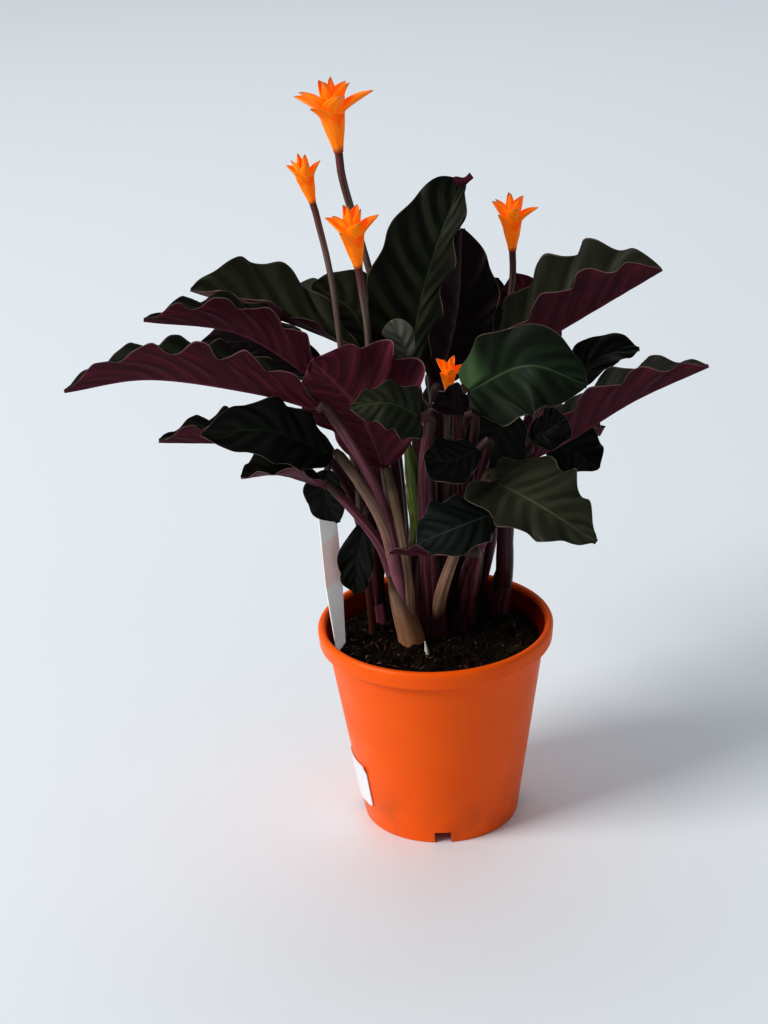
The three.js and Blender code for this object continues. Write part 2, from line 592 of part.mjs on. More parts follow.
// A flat tag with a pointed foot, pushed in between the soil and the pot's left wall.
const LABEL_WIDTH = 18;
const LABEL_HEIGHT = 118;
const LABEL_POINT = 62; // height of the tapering foot
const LABEL_THICKNESS = 0.8;
const LABEL_FOOT = new THREE.Vector3(-51.6, -7, SOIL_LEVEL - 22);
const LABEL_LEAN = degrees(-2.6);
const LABEL_TURN = degrees(62);
const labelOutline = new THREE.Shape([
  new THREE.Vector2(-3, 0), new THREE.Vector2(3, 0), new THREE.Vector2(LABEL_WIDTH / 2, LABEL_POINT),
  new THREE.Vector2(LABEL_WIDTH / 2, LABEL_HEIGHT), new THREE.Vector2(-LABEL_WIDTH / 2, LABEL_HEIGHT),
  new THREE.Vector2(-LABEL_WIDTH / 2, LABEL_POINT),
]);
const placeLabel = (geometry) => geometry.rotateX(Math.PI / 2).rotateZ(LABEL_TURN).rotateY(LABEL_LEAN)
  .translate(LABEL_FOOT.x, LABEL_FOOT.y, LABEL_FOOT.z);
const labelPlate = (outline, thickness) => placeLabel(
  new THREE.ExtrudeGeometry(outline, { depth: thickness, bevelEnabled: false })
    .translate(0, 0, -thickness / 2));
addPiece('plant_label', labelPlate(labelOutline, LABEL_THICKNESS), WHITE_PLASTIC);

// ---------------------------------------------------------------- sticker

// A paper label that follows the taper and the curve of the pot's wall.
const STICKER_MIDDLE = degrees(-163);
const STICKER_SPAN = degrees(34);
const STICKER_BOTTOM = 14;
const STICKER_HEIGHT = 26;
const STICKER_THICKNESS = 0.6;
const STICKER_STEPS = 8;
const stickerVertices = [];
const stickerTriangles = [];
for (let step = 0; step <= STICKER_STEPS; step++) {
  const turn = STICKER_MIDDLE + STICKER_SPAN * (step / STICKER_STEPS - 0.5);
  for (const out of [FIT_GAP, FIT_GAP + STICKER_THICKNESS]) {
    for (const z of [STICKER_BOTTOM, STICKER_BOTTOM + STICKER_HEIGHT]) {
      const radius = wallRadius(z) + out;
      stickerVertices.push([radius * Math.cos(turn), radius * Math.sin(turn), z]);
    }
  }
}
for (let step = 0; step < STICKER_STEPS; step++) {
  const here = step * 4;
  const next = here + 4;
  const ring = [[1, 0], [3, 1], [2, 3], [0, 2]];
  for (const [from, to] of ring) {
    stickerTriangles.push([here + from, next + to, here + to], [here + from, next + from, next + to]);
  }
}
const stickerEnd = STICKER_STEPS * 4;
stickerTriangles.push([0, 3, 1], [0, 2, 3], [stickerEnd, stickerEnd + 1, stickerEnd + 3],
  [stickerEnd, stickerEnd + 3, stickerEnd + 2]);
addPiece('sticker', closedGeometry(stickerVertices, stickerTriangles), WHITE_PAPER);

// ---------------------------------------------------------------- soil

// The potting mix fills the pot to just under the lip. Its top is lumpy, and slightly heaped in the middle.
// Each stalk stands in a plain hole.
const SOIL_RINGS = 5;
const SOIL_SEGMENTS = 28;
const soilTop = (x, y) => {
  const heap = 3.5 * (1 - (x * x + y * y) / MOUTH_RADIUS ** 2);
  const lumps = Math.sin(x * 0.21 + 1.3) * Math.cos(y * 0.17 - 0.4) + 0.6 * Math.sin(x * 0.43 - y * 0.37);
  return SOIL_LEVEL - 2.5 + heap + SOIL_RELIEF * 0.6 * lumps;
};
const soilFloor = CHANNEL_HEIGHT + FLOOR + FIT_GAP;
const soilSide = (z) => wallRadius(z) - POT_WALL - FIT_GAP * 1.5;
const soilVertices = [[0, 0, soilTop(0, 0)]];
const soilTriangles = [];
const soilCorner = (ring, segment) => 1 + (ring - 1) * SOIL_SEGMENTS + (segment % SOIL_SEGMENTS);
for (let ring = 1; ring <= SOIL_RINGS; ring++) {
  for (let segment = 0; segment < SOIL_SEGMENTS; segment++) {
    const turn = (2 * Math.PI * segment) / SOIL_SEGMENTS;
    const radius = (soilSide(SOIL_LEVEL - 4) * ring) / SOIL_RINGS;
    const [x, y] = [radius * Math.cos(turn), radius * Math.sin(turn)];
    soilVertices.push([x, y, ring === SOIL_RINGS ? SOIL_LEVEL - 4 : soilTop(x, y)]);
    if (ring === 1) {
      soilTriangles.push([0, soilCorner(1, segment), soilCorner(1, segment + 1)]);
    } else {
      const [a, b] = [soilCorner(ring - 1, segment), soilCorner(ring - 1, segment + 1)];
      const [c, d] = [soilCorner(ring, segment), soilCorner(ring, segment + 1)];
      soilTriangles.push([a, c, d], [a, d, b]);
    }
  }
}
const soilBase = soilVertices.length;
for (let segment = 0; segment < SOIL_SEGMENTS; segment++) {
  const turn = (2 * Math.PI * segment) / SOIL_SEGMENTS;
  soilVertices.push([soilSide(soilFloor) * Math.cos(turn), soilSide(soilFloor) * Math.sin(turn), soilFloor]);
  const [a, b] = [soilCorner(SOIL_RINGS, segment), soilCorner(SOIL_RINGS, segment + 1)];
  const [c, d] = [soilBase + segment, soilBase + ((segment + 1) % SOIL_SEGMENTS)];
  soilTriangles.push([a, c, d], [a, d, b]);
  if (segment > 0 && segment < SOIL_SEGMENTS - 1) soilTriangles.push([soilBase, d, c]);
}
let soil = toSolid(closedGeometry(soilVertices, soilTriangles));
const HOLE_LENGTH = STALK_DEPTH + 20;
const holeBottom = SOIL_LEVEL - STALK_DEPTH - FIT_GAP;
for (const [x, y, radius] of footHoles) {
  const sides = radius > 4 ? 12 : 8;
  const hole = new THREE.CylinderGeometry(radius, radius, HOLE_LENGTH, sides).rotateX(Math.PI / 2);
  soil = soil.subtract(toSolid(hole.translate(x, y, holeBottom + HOLE_LENGTH / 2)));
}
const slotOutline = new THREE.Shape([
  new THREE.Vector2(-3.6, -FIT_GAP), new THREE.Vector2(3.6, -FIT_GAP),
  new THREE.Vector2(LABEL_WIDTH / 2 + 0.6, LABEL_POINT),
  new THREE.Vector2(-LABEL_WIDTH / 2 - 0.6, LABEL_POINT),
]);
soil = soil.subtract(toSolid(labelPlate(slotOutline, LABEL_THICKNESS + 2 * FIT_GAP)));
addPiece('soil', toGeometry(soil), POTTING_MIX);

export default group;
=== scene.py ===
import math

import bpy
import numpy as np
from mathutils import Matrix, Vector, noise


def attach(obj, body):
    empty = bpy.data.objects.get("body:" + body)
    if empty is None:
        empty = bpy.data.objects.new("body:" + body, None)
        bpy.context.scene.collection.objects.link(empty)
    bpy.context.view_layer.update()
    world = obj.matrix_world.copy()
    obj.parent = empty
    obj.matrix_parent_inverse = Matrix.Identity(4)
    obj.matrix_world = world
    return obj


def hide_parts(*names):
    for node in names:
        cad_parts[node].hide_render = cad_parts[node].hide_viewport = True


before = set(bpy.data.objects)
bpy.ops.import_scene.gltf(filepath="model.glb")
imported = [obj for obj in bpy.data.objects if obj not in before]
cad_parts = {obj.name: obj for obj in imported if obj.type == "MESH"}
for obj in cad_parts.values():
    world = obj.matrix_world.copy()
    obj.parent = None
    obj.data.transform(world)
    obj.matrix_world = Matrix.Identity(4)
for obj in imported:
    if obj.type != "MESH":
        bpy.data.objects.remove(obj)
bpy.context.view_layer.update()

# ---------------------------------------------------------------------------------------------- nursery pot
# One injection-moulded pot of orange polypropylene, tapered so that it leaves the mould and stacks. The lip
# is rolled outward to stiffen the mouth. The floor stands on its middle pad and on a foot ring, which is
# notched at four places, with a drain hole between each two notches.

MM = 0.001
POT_HEIGHT = 116.8
RIM_RADIUS = 65.0
MOUTH_RADIUS = 60.4
WALL_TOP_RADIUS = 59.9
FOOT_RADIUS = 43.3
POT_WALL = 1.8
LIP_HEIGHT = 10.5
PAD_RADIUS = 27.0
CHANNEL_HEIGHT = 5.0
CHANNEL_OUTER = 39.5
POT_FLOOR = 2.2
ORANGE = (0.92, 0.124, 0.0010, 1)
ORANGE_WORN = (0.92, 0.18, 0.010, 1)


def wall_radius(z):
    """Outer radius of the tapered wall at a height, in millimetres."""
    return FOOT_RADIUS + (WALL_TOP_RADIUS - FOOT_RADIUS) * z / (POT_HEIGHT - LIP_HEIGHT)


def eased(profile, radius, steps=5):
    """The profile with each inner corner turned into a small curve."""
    points = [np.array(point, float) for point in profile]
    out = [points[0]]
    for before, corner, after in zip(points, points[1:], points[2:]):
        into = before - corner
        onward = after - corner
        reach = min(radius, 0.45 * np.linalg.norm(into), 0.45 * np.linalg.norm(onward))
        start = corner + into / np.linalg.norm(into) * reach
        end = corner + onward / np.linalg.norm(onward) * reach
        for step in range(steps + 1):
            t = step / steps
            out.append((1 - t) ** 2 * start + 2 * t * (1 - t) * corner + t * t * end)
    out.append(points[-1])
    return out


def new_piece(name, vertices, faces, smooth_angle=40):
    """A mesh object in metres from points in millimetres, shaded smooth with crisp edges."""
    mesh = bpy.data.meshes.new(name)
    mesh.from_pydata((np.array(vertices, float) * MM).tolist(), [], [list(map(int, f)) for f in faces])
    mesh.validate()
    mesh.polygons.foreach_set("use_smooth", [True] * len(mesh.polygons))
    mesh.set_sharp_from_angle(angle=math.radians(smooth_angle))
    piece = bpy.data.objects.new(name, mesh)
    bpy.context.scene.collection.objects.link(piece)
    return piece


def settle(piece, slot, *nodes):
    """The piece rides on the plant's one body and stands for its CAD nodes, which it hides. Its slot is not
    used.
    """
    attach(piece, "root")
    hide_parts(*nodes)


def turned(profile, segments):
    """Vertices and faces of a round solid whose profile starts and ends on the axis."""
    vertices = []
    rows = []
    for radius, z in profile:
        if radius < 1e-6:
            rows.append([len(vertices)] * segments)
            vertices.append((0, 0, z))
            continue
        rows.append(list(range(len(vertices), len(vertices) + segments)))
        for segment in range(segments):
            turn = 2 * math.pi * segment / segments
            vertices.append((radius * math.cos(turn), radius * math.sin(turn), z))
    faces = []
    for low, high in zip(rows, rows[1:]):
        for segment in range(segments):
            after = (segment + 1) % segments
            corners = [low[segment], low[after], high[after], high[segment]]
            face = list(dict.fromkeys(corners))
            if len(face) > 2:
                faces.append(face)
    return vertices, faces


def cut_away(piece, cutters):
    """Takes the cutters out of the piece and leaves a plain mesh."""
    for cutter in cutters:
        cut = piece.modifiers.new("cut", "BOOLEAN")
        cut.operation = "DIFFERENCE"
        cut.solver = "EXACT"
        cut.object = cutter
    bpy.context.view_layer.update()
    evaluated = piece.evaluated_get(bpy.context.evaluated_depsgraph_get())
    mesh = bpy.data.meshes.new_from_object(evaluated)
    piece.modifiers.clear()
    piece.data = mesh
    mesh.polygons.foreach_set("use_smooth", [True] * len(mesh.polygons))
    mesh.set_sharp_from_angle(angle=math.radians(35))
    for cutter in cutters:
        bpy.data.objects.remove(cutter)


WALL_FOOT = CHANNEL_HEIGHT + POT_FLOOR
pot_profile = eased([
    (0, 0), (PAD_RADIUS, 0), (PAD_RADIUS + 1.5, CHANNEL_HEIGHT), (CHANNEL_OUTER, CHANNEL_HEIGHT),
    (CHANNEL_OUTER + 1.5, 0), (FOOT_RADIUS, 0),
    (WALL_TOP_RADIUS, POT_HEIGHT - LIP_HEIGHT), (RIM_RADIUS - 0.7, POT_HEIGHT - LIP_HEIGHT + 0.3),
    (RIM_RADIUS, POT_HEIGHT - 2.0), (RIM_RADIUS - 1.2, POT_HEIGHT), (MOUTH_RADIUS + 1.2, POT_HEIGHT),
    (MOUTH_RADIUS, POT_HEIGHT - 2.0), (WALL_TOP_RADIUS - POT_WALL, POT_HEIGHT - LIP_HEIGHT),
    (wall_radius(WALL_FOOT) - POT_WALL, WALL_FOOT), (0, WALL_FOOT),
], 1.1)
pot_vertices, pot_faces = turned(pot_profile, 168)
pot = new_piece("moulded_pot", pot_vertices, pot_faces)


def cutter(vertices, faces, place, turn):
    """A solid to cut with, moved out from the pot's axis and then turned round it."""
    spin = np.array(Matrix.Rotation(turn, 3, "Z"))
    return new_piece("cutter", [spin @ (np.array(v) + np.array(place)) for v in vertices], faces)


NOTCH_SIZE = (10, 9, 14)
HOLE_RADIUS = 3.2
hole_reach = (PAD_RADIUS + CHANNEL_OUTER) / 2 + 0.7
box = [np.array((x, y, z)) * NOTCH_SIZE / 2 for x in (-1, 1) for y in (-1, 1) for z in (-1, 1)]
box_faces = [(0, 1, 3, 2), (4, 6, 7, 5), (0, 4, 5, 1), (2, 3, 7, 6), (0, 2, 6, 4), (1, 5, 7, 3)]
drill = turned([(0, -5), (HOLE_RADIUS, -5), (HOLE_RADIUS, 5), (0, 5)], 24)
cutters = []
for notch in range(4):
    quarter = math.pi / 2 * notch - math.pi / 2
    cutters.append(cutter(box, box_faces, (FOOT_RADIUS - 1.5, 0, 0), quarter))
    cutters.append(cutter(*drill, (hole_reach, 0, 6), quarter + math.pi / 4))
cut_away(pot, cutters)
settle(pot, "pot_plastic", "pot")


def new_material(name, **settings):
    """A material with the given numbers and colours on its shader, its node tree and its shader node."""
    material = bpy.data.materials.new(name)
    material.use_nodes = True
    shader = material.node_tree.nodes["Principled BSDF"]
    for socket, value in settings.items():
        shader.inputs[socket.replace("_", " ").title().replace("Ior", "IOR")].default_value = value
    return material, material.node_tree, shader


def feed(tree, socket, value):
    """Joins the socket to another one, or gives it a plain value."""
    if isinstance(value, bpy.types.NodeSocket):
        tree.links.new(value, socket)
    else:
        socket.default_value = value


def add_node(tree, kind, values=None, **settings):
    """A node of the kind with its settings, and its sockets fed with the values."""
    made = tree.nodes.new("ShaderNode" + kind)
    for name, value in settings.items():
        setattr(made, name, value)
    for key, value in (values or {}).items():
        feed(tree, made.inputs[key], value)
    return made


def reckon(tree, operation, *terms):
    """The output of one sum on sockets or numbers."""
    return add_node(tree, "Math", dict(enumerate(terms)), operation=operation).outputs[0]


def times(tree, first, second):
    return reckon(tree, "MULTIPLY", first, second)


def span(tree, value, low, high, to_low=0.0, to_high=1.0, smooth=True):
    """Moves a value from one range to another, with eased ends."""
    kind = "SMOOTHSTEP" if smooth else "LINEAR"
    values = {"Value": value, "From Min": low, "From Max": high, "To Min": to_low, "To Max": to_high}
    return add_node(tree, "MapRange", values, interpolation_type=kind).outputs["Result"]


def blend(tree, share, first, second):
    """Two colours in the given share."""
    return add_node(tree, "Mix", {0: share, 6: first, 7: second}, data_type="RGBA").outputs[2]


def place_in_metres(tree):
    return add_node(tree, "NewGeometry").outputs["Position"]


def parted(tree, vector):
    """The three numbers of a place or of a point's marks."""
    parts = add_node(tree, "SeparateXYZ", {"Vector": vector}).outputs
    return parts["X"], parts["Y"], parts["Z"]


def joined(tree, x, y, z):
    """A place made of three numbers."""
    return add_node(tree, "CombineXYZ", {"X": x, "Y": y, "Z": z}).outputs[0]


def mottle(tree, scale, detail=2.0, roughness=0.5, place=None):
    """Soft noise over the surface, or over another place."""
    where = place_in_metres(tree) if place is None else place
    values = {"Vector": where, "Scale": scale, "Detail": detail, "Roughness": roughness}
    return add_node(tree, "TexNoise", values).outputs["Fac"]


def emboss(tree, shader, relief, strength, depth):
    """Presses a relief into the surface, with its depth in metres."""
    bump = add_node(tree, "Bump", {"Height": relief, "Strength": strength, "Distance": depth})
    tree.links.new(bump.outputs["Normal"], shader.inputs["Normal"])


def new_group(name, inputs, outputs):
    """An empty shader group whose named inputs and outputs are plain numbers."""
    group = bpy.data.node_groups.new(name, "ShaderNodeTree")
    number = "NodeSocketFloat"
    for label, value in inputs.items():
        group.interface.new_socket(label, in_out="INPUT", socket_type=number).default_value = value
    for label in outputs:
        group.interface.new_socket(label, in_out="OUTPUT", socket_type=number)
    return group, group.nodes.new("NodeGroupInput").outputs, group.nodes.new("NodeGroupOutput").inputs


def use_group(tree, group, values):
    """The outputs of a group that is placed in a material with its own values."""
    return add_node(tree, "Group", values, node_tree=group).outputs


# Grime: soft patches low down, for whatever stands in a nursery and gets watered.
grime, into, out = new_group("grime", {"Patch Size": 0.03, "Height": 0.03}, ["Patches"])
patch = mottle(grime, reckon(grime, "DIVIDE", 1.0, into["Patch Size"]), 6.0, 0.62)
near_floor = span(grime, parted(grime, place_in_metres(grime))[2], 0.0, into["Height"], 1.0, 0.0)
feed(grime, out["Patches"], times(grime, span(grime, patch, 0.42, 0.75), near_floor))

# The plastic: satin, a little cloudy in its gloss, with fine vertical flow lines from the mould, and soil
# dust at the foot. Inside, above the soil, the wall is painted a deep red orange as painted shade.
plastic, tree, shader = new_material("orange_polypropylene", ior=1.49, specular_ior_level=0.22)
dust = use_group(tree, grime, {"Patch Size": 0.022, "Height": 0.045})
cloud = mottle(tree, 38.0, 4.0)
place = place_in_metres(tree)
stretch = add_node(tree, "VectorMath", {0: place, 1: (900.0, 900.0, 26.0)}, operation="MULTIPLY")
flow = mottle(tree, 1.0, 3.0, place=stretch.outputs[0])
body = blend(tree, span(tree, cloud, 0.35, 0.75, 0.0, 0.35), ORANGE, (0.86, 0.096, 0.0010, 1))
body = blend(tree, span(tree, flow, 0.60, 0.80, 0.0, 0.10), body, ORANGE_WORN)
body = blend(tree, times(tree, dust["Patches"], 0.35), body, (0.16, 0.075, 0.04, 1))
east, north, height = parted(tree, place)
flat_place = joined(tree, east, north, 0.0)
from_axis = add_node(tree, "VectorMath", {0: flat_place}, operation="LENGTH").outputs["Value"]
wall_slope = (WALL_TOP_RADIUS - FOOT_RADIUS) / (POT_HEIGHT - LIP_HEIGHT)
in_wall = reckon(tree, "MULTIPLY_ADD", height, wall_slope, (FOOT_RADIUS - POT_WALL / 2) * MM)
above_wall = reckon(tree, "GREATER_THAN", height, (POT_HEIGHT - LIP_HEIGHT + 0.3) * MM)
in_lip = times(tree, above_wall, (MOUTH_RADIUS + 0.8) * MM)
within = reckon(tree, "LESS_THAN", from_axis, reckon(tree, "MAXIMUM", in_wall, in_lip))
below_rim = span(tree, height, (POT_HEIGHT - 3.3) * MM, (POT_HEIGHT - 1.3) * MM, 1.0, 0.0)
# The inner wall above the soil is painted a deep red orange: painted shade under the leaves.
shaded_inside = times(tree, within, below_rim)
above_soil = span(tree, height, 0.098, 0.101)
body = blend(tree, times(tree, shaded_inside, above_soil), body, (0.22, 0.012, 0.0010, 1))
tree.links.new(body, shader.inputs["Base Color"])
tree.links.new(span(tree, cloud, 0.3, 0.7, 0.34, 0.46), shader.inputs["Roughness"])
grain = times(tree, mottle(tree, 2600.0, 1.0), 0.5)
emboss(tree, shader, reckon(tree, "ADD", grain, flow), 0.10, 0.0002)
pot.data.materials.clear()
pot.data.materials.append(plastic)

# ---------------------------------------------------------------------------------------------- potting mix
# Peat with bark and root fibre, filled to just under the lip and sunk a little at the wall. Its top is
# crumbs of all sizes, dark where they are wet, with bits of bark and fine roots, and moss at the right.

SOIL_LEVEL = 107.0
SOIL_RELIEF = 2.2
SOIL_GAP = 0.6
SOIL_RINGS = 62
SOIL_SEGMENTS = 200
CRUMBS = 1500
FIBRES = 240
FIBRE_JOINTS = 5
FIBRE_SIDES = 3
soil_chance = np.random.default_rng(7)


def soil_top(x, y):
    """Height of the settled mix, in millimetres."""
    heap = 3.5 * (1 - (x * x + y * y) / MOUTH_RADIUS ** 2)
    lumps = math.sin(x * 0.21 + 1.3) * math.cos(y * 0.17 - 0.4) + 0.6 * math.sin(x * 0.43 - y * 0.37)
    return SOIL_LEVEL - 2.5 + heap + SOIL_RELIEF * 0.6 * lumps


def soil_rough(x, y):
    """The same with its clods and crumbs."""
    clods = noise.fractal(Vector((x * 0.11, y * 0.11, 3.0)), 0.6, 2.0, 4)
    crumbs = abs(noise.noise(Vector((x * 0.55, y * 0.55, 9.0))))
    return soil_top(x, y) + 1.9 * clods + 1.2 * crumbs - 0.3


def soil_side(z):
    return wall_radius(z) - POT_WALL - SOIL_GAP


SOIL_EDGE = SOIL_LEVEL - 4
SOIL_FOOT = WALL_FOOT + 0.4
edge_radius = soil_side(SOIL_EDGE)


def soil_height(x, y):
    """The rough top, sunk a little where it meets the wall."""
    sunk = max(0.0, (math.hypot(x, y) / edge_radius - 0.93) / 0.07) ** 2
    return soil_rough(x, y) * (1 - sunk) + SOIL_EDGE * sunk


soil_rings = [(edge_radius * ring / SOIL_RINGS, 0.0) for ring in range(SOIL_RINGS, -1, -1)]
soil_profile = [(0, SOIL_FOOT), (soil_side(SOIL_FOOT), SOIL_FOOT), *soil_rings]
flat_vertices, soil_faces = turned(soil_profile, SOIL_SEGMENTS)
soil_vertices = [(x, y, z if z > 0 else soil_height(x, y)) for x, y, z in flat_vertices]

# Loose crumbs lie on the top, each a small uneven lump.
LUMP_GIRTH = 0.89
LUMP_STEP = 0.45
LUMP = [(0, 0, 1)]
for level, shift in ((LUMP_STEP, 0), (-LUMP_STEP, 0.5)):
    for corner in range(5):
        turn = 2 * math.pi * (corner + shift) / 5
        LUMP.append((LUMP_GIRTH * math.cos(turn), LUMP_GIRTH * math.sin(turn), level))
LUMP.append((0, 0, -1))
LUMP_FACES = []
for corner in range(5):
    upper, after = 1 + corner, 1 + (corner + 1) % 5
    LUMP_FACES += [(0, upper, after), (upper, upper + 5, after), (after, upper + 5, after + 5),
                   (11, after + 5, upper + 5)]
for crumb in range(CRUMBS):
    reach = (edge_radius - 1.5) * math.sqrt(soil_chance.random())
    turn = 2 * math.pi * soil_chance.random()
    x, y = reach * math.cos(turn), reach * math.sin(turn)
    size = 0.35 + 1.5 * soil_chance.random() ** 3
    shape = size * (0.6 + 0.6 * soil_chance.random(3))
    first = len(soil_vertices)
    z = soil_rough(x, y) + 0.25 * size
    for corner in LUMP:
        jitter = 0.75 + 0.4 * soil_chance.random()
        soil_vertices.append((x + corner[0] * shape[0] * jitter, y + corner[1] * shape[1] * jitter,
                              z + corner[2] * shape[2] * jitter * 0.8))
    soil_faces.extend([tuple(first + corner for corner in face) for face in LUMP_FACES])

# Root fibres and slivers of bark lie across each other.
fibre_start = len(soil_faces)
for fibre in range(FIBRES):
    reach = (edge_radius - 5) * math.sqrt(soil_chance.random())
    turn = 2 * math.pi * soil_chance.random()
    heading = 2 * math.pi * soil_chance.random()
    bend = 1.4 * (soil_chance.random() - 0.5)
    length = 2.5 + 9 * soil_chance.random() ** 2
    thick = 0.14 + 0.2 * soil_chance.random() ** 2
    x, y = reach * math.cos(turn), reach * math.sin(turn)
    lift = 0.3 + 0.8 * soil_chance.random()
    first = len(soil_vertices)
    for joint in range(FIBRE_JOINTS + 1):
        z = soil_rough(x, y) + thick + lift * math.sin(math.pi * joint / FIBRE_JOINTS)
        for side in range(FIBRE_SIDES):
            around = 2 * math.pi * side / FIBRE_SIDES
            across = thick * math.cos(around)
            soil_vertices.append((x - across * math.sin(heading), y + across * math.cos(heading),
                                  z + thick * math.sin(around)))
        x += length / FIBRE_JOINTS * math.cos(heading)
        y += length / FIBRE_JOINTS * math.sin(heading)
        heading += bend / FIBRE_JOINTS
    for joint in range(FIBRE_JOINTS):
        low = first + joint * FIBRE_SIDES
        for side in range(FIBRE_SIDES):
            after = (side + 1) % FIBRE_SIDES
            high = low + FIBRE_SIDES
            soil_faces.append((low + side, low + after, high + after, high + side))
    soil_faces.append(tuple(range(first + FIBRE_SIDES - 1, first - 1, -1)))
    soil_faces.append(tuple(range(high, high + FIBRE_SIDES)))

soil = new_piece("potting_mix_top", soil_vertices, soil_faces, 60)
settle(soil, "potting_mix", "soil")

peat, tree, shader = new_material("peat_and_bark", specular_ior_level=0.12)
clod = mottle(tree, 260.0, 8.0, 0.7)
shade = blend(tree, span(tree, clod, 0.38, 0.70), (0.0022, 0.0013, 0.0010, 1), (0.020, 0.0095, 0.0055, 1))
bits = add_node(tree, "TexVoronoi", {"Vector": place_in_metres(tree), "Scale": 420.0, "Randomness": 1.0})
picked = add_node(tree, "SeparateColor", {"Color": bits.outputs["Color"]}).outputs["Red"]
shade = blend(tree, span(tree, picked, 0.90, 0.99, 0.0, 0.7), shade, (0.055, 0.026, 0.013, 1))
to_right = span(tree, parted(tree, place_in_metres(tree))[0], 0.024, 0.048)
moss = times(tree, span(tree, mottle(tree, 75.0, 5.0), 0.44, 0.60, 0.0, 0.75), to_right)
shade = blend(tree, moss, shade, (0.028, 0.024, 0.006, 1))
tree.links.new(shade, shader.inputs["Base Color"])
tree.links.new(span(tree, clod, 0.35, 0.6, 0.70, 0.98), shader.inputs["Roughness"])
emboss(tree, shader, clod, 0.9, 0.0009)

root_fibre, tree, shader = new_material("dry_root_fibre", roughness=0.8, specular_ior_level=0.15)
aged = span(tree, mottle(tree, 150.0, 3.0), 0.52, 0.66)
shade = blend(tree, aged, (0.028, 0.013, 0.007, 1), (0.30, 0.20, 0.12, 1))
tree.links.new(shade, shader.inputs["Base Color"])
soil.data.materials.append(peat)
soil.data.materials.append(root_fibre)
fibre_faces = len(soil.data.polygons) - fibre_start
soil.data.polygons.foreach_set("material_index", [0] * fibre_start + [1] * fibre_faces)

# ---------------------------------------------------------------------------------------------- leaf stalks
# Each shoot is a tight clump of leaf stalks whose sheathing feet wrap one another, so that they look like
# one thick stem at the soil. Higher up they part, round and slightly grooved, and each ends in a short
# swollen joint that turns its blade to the light.

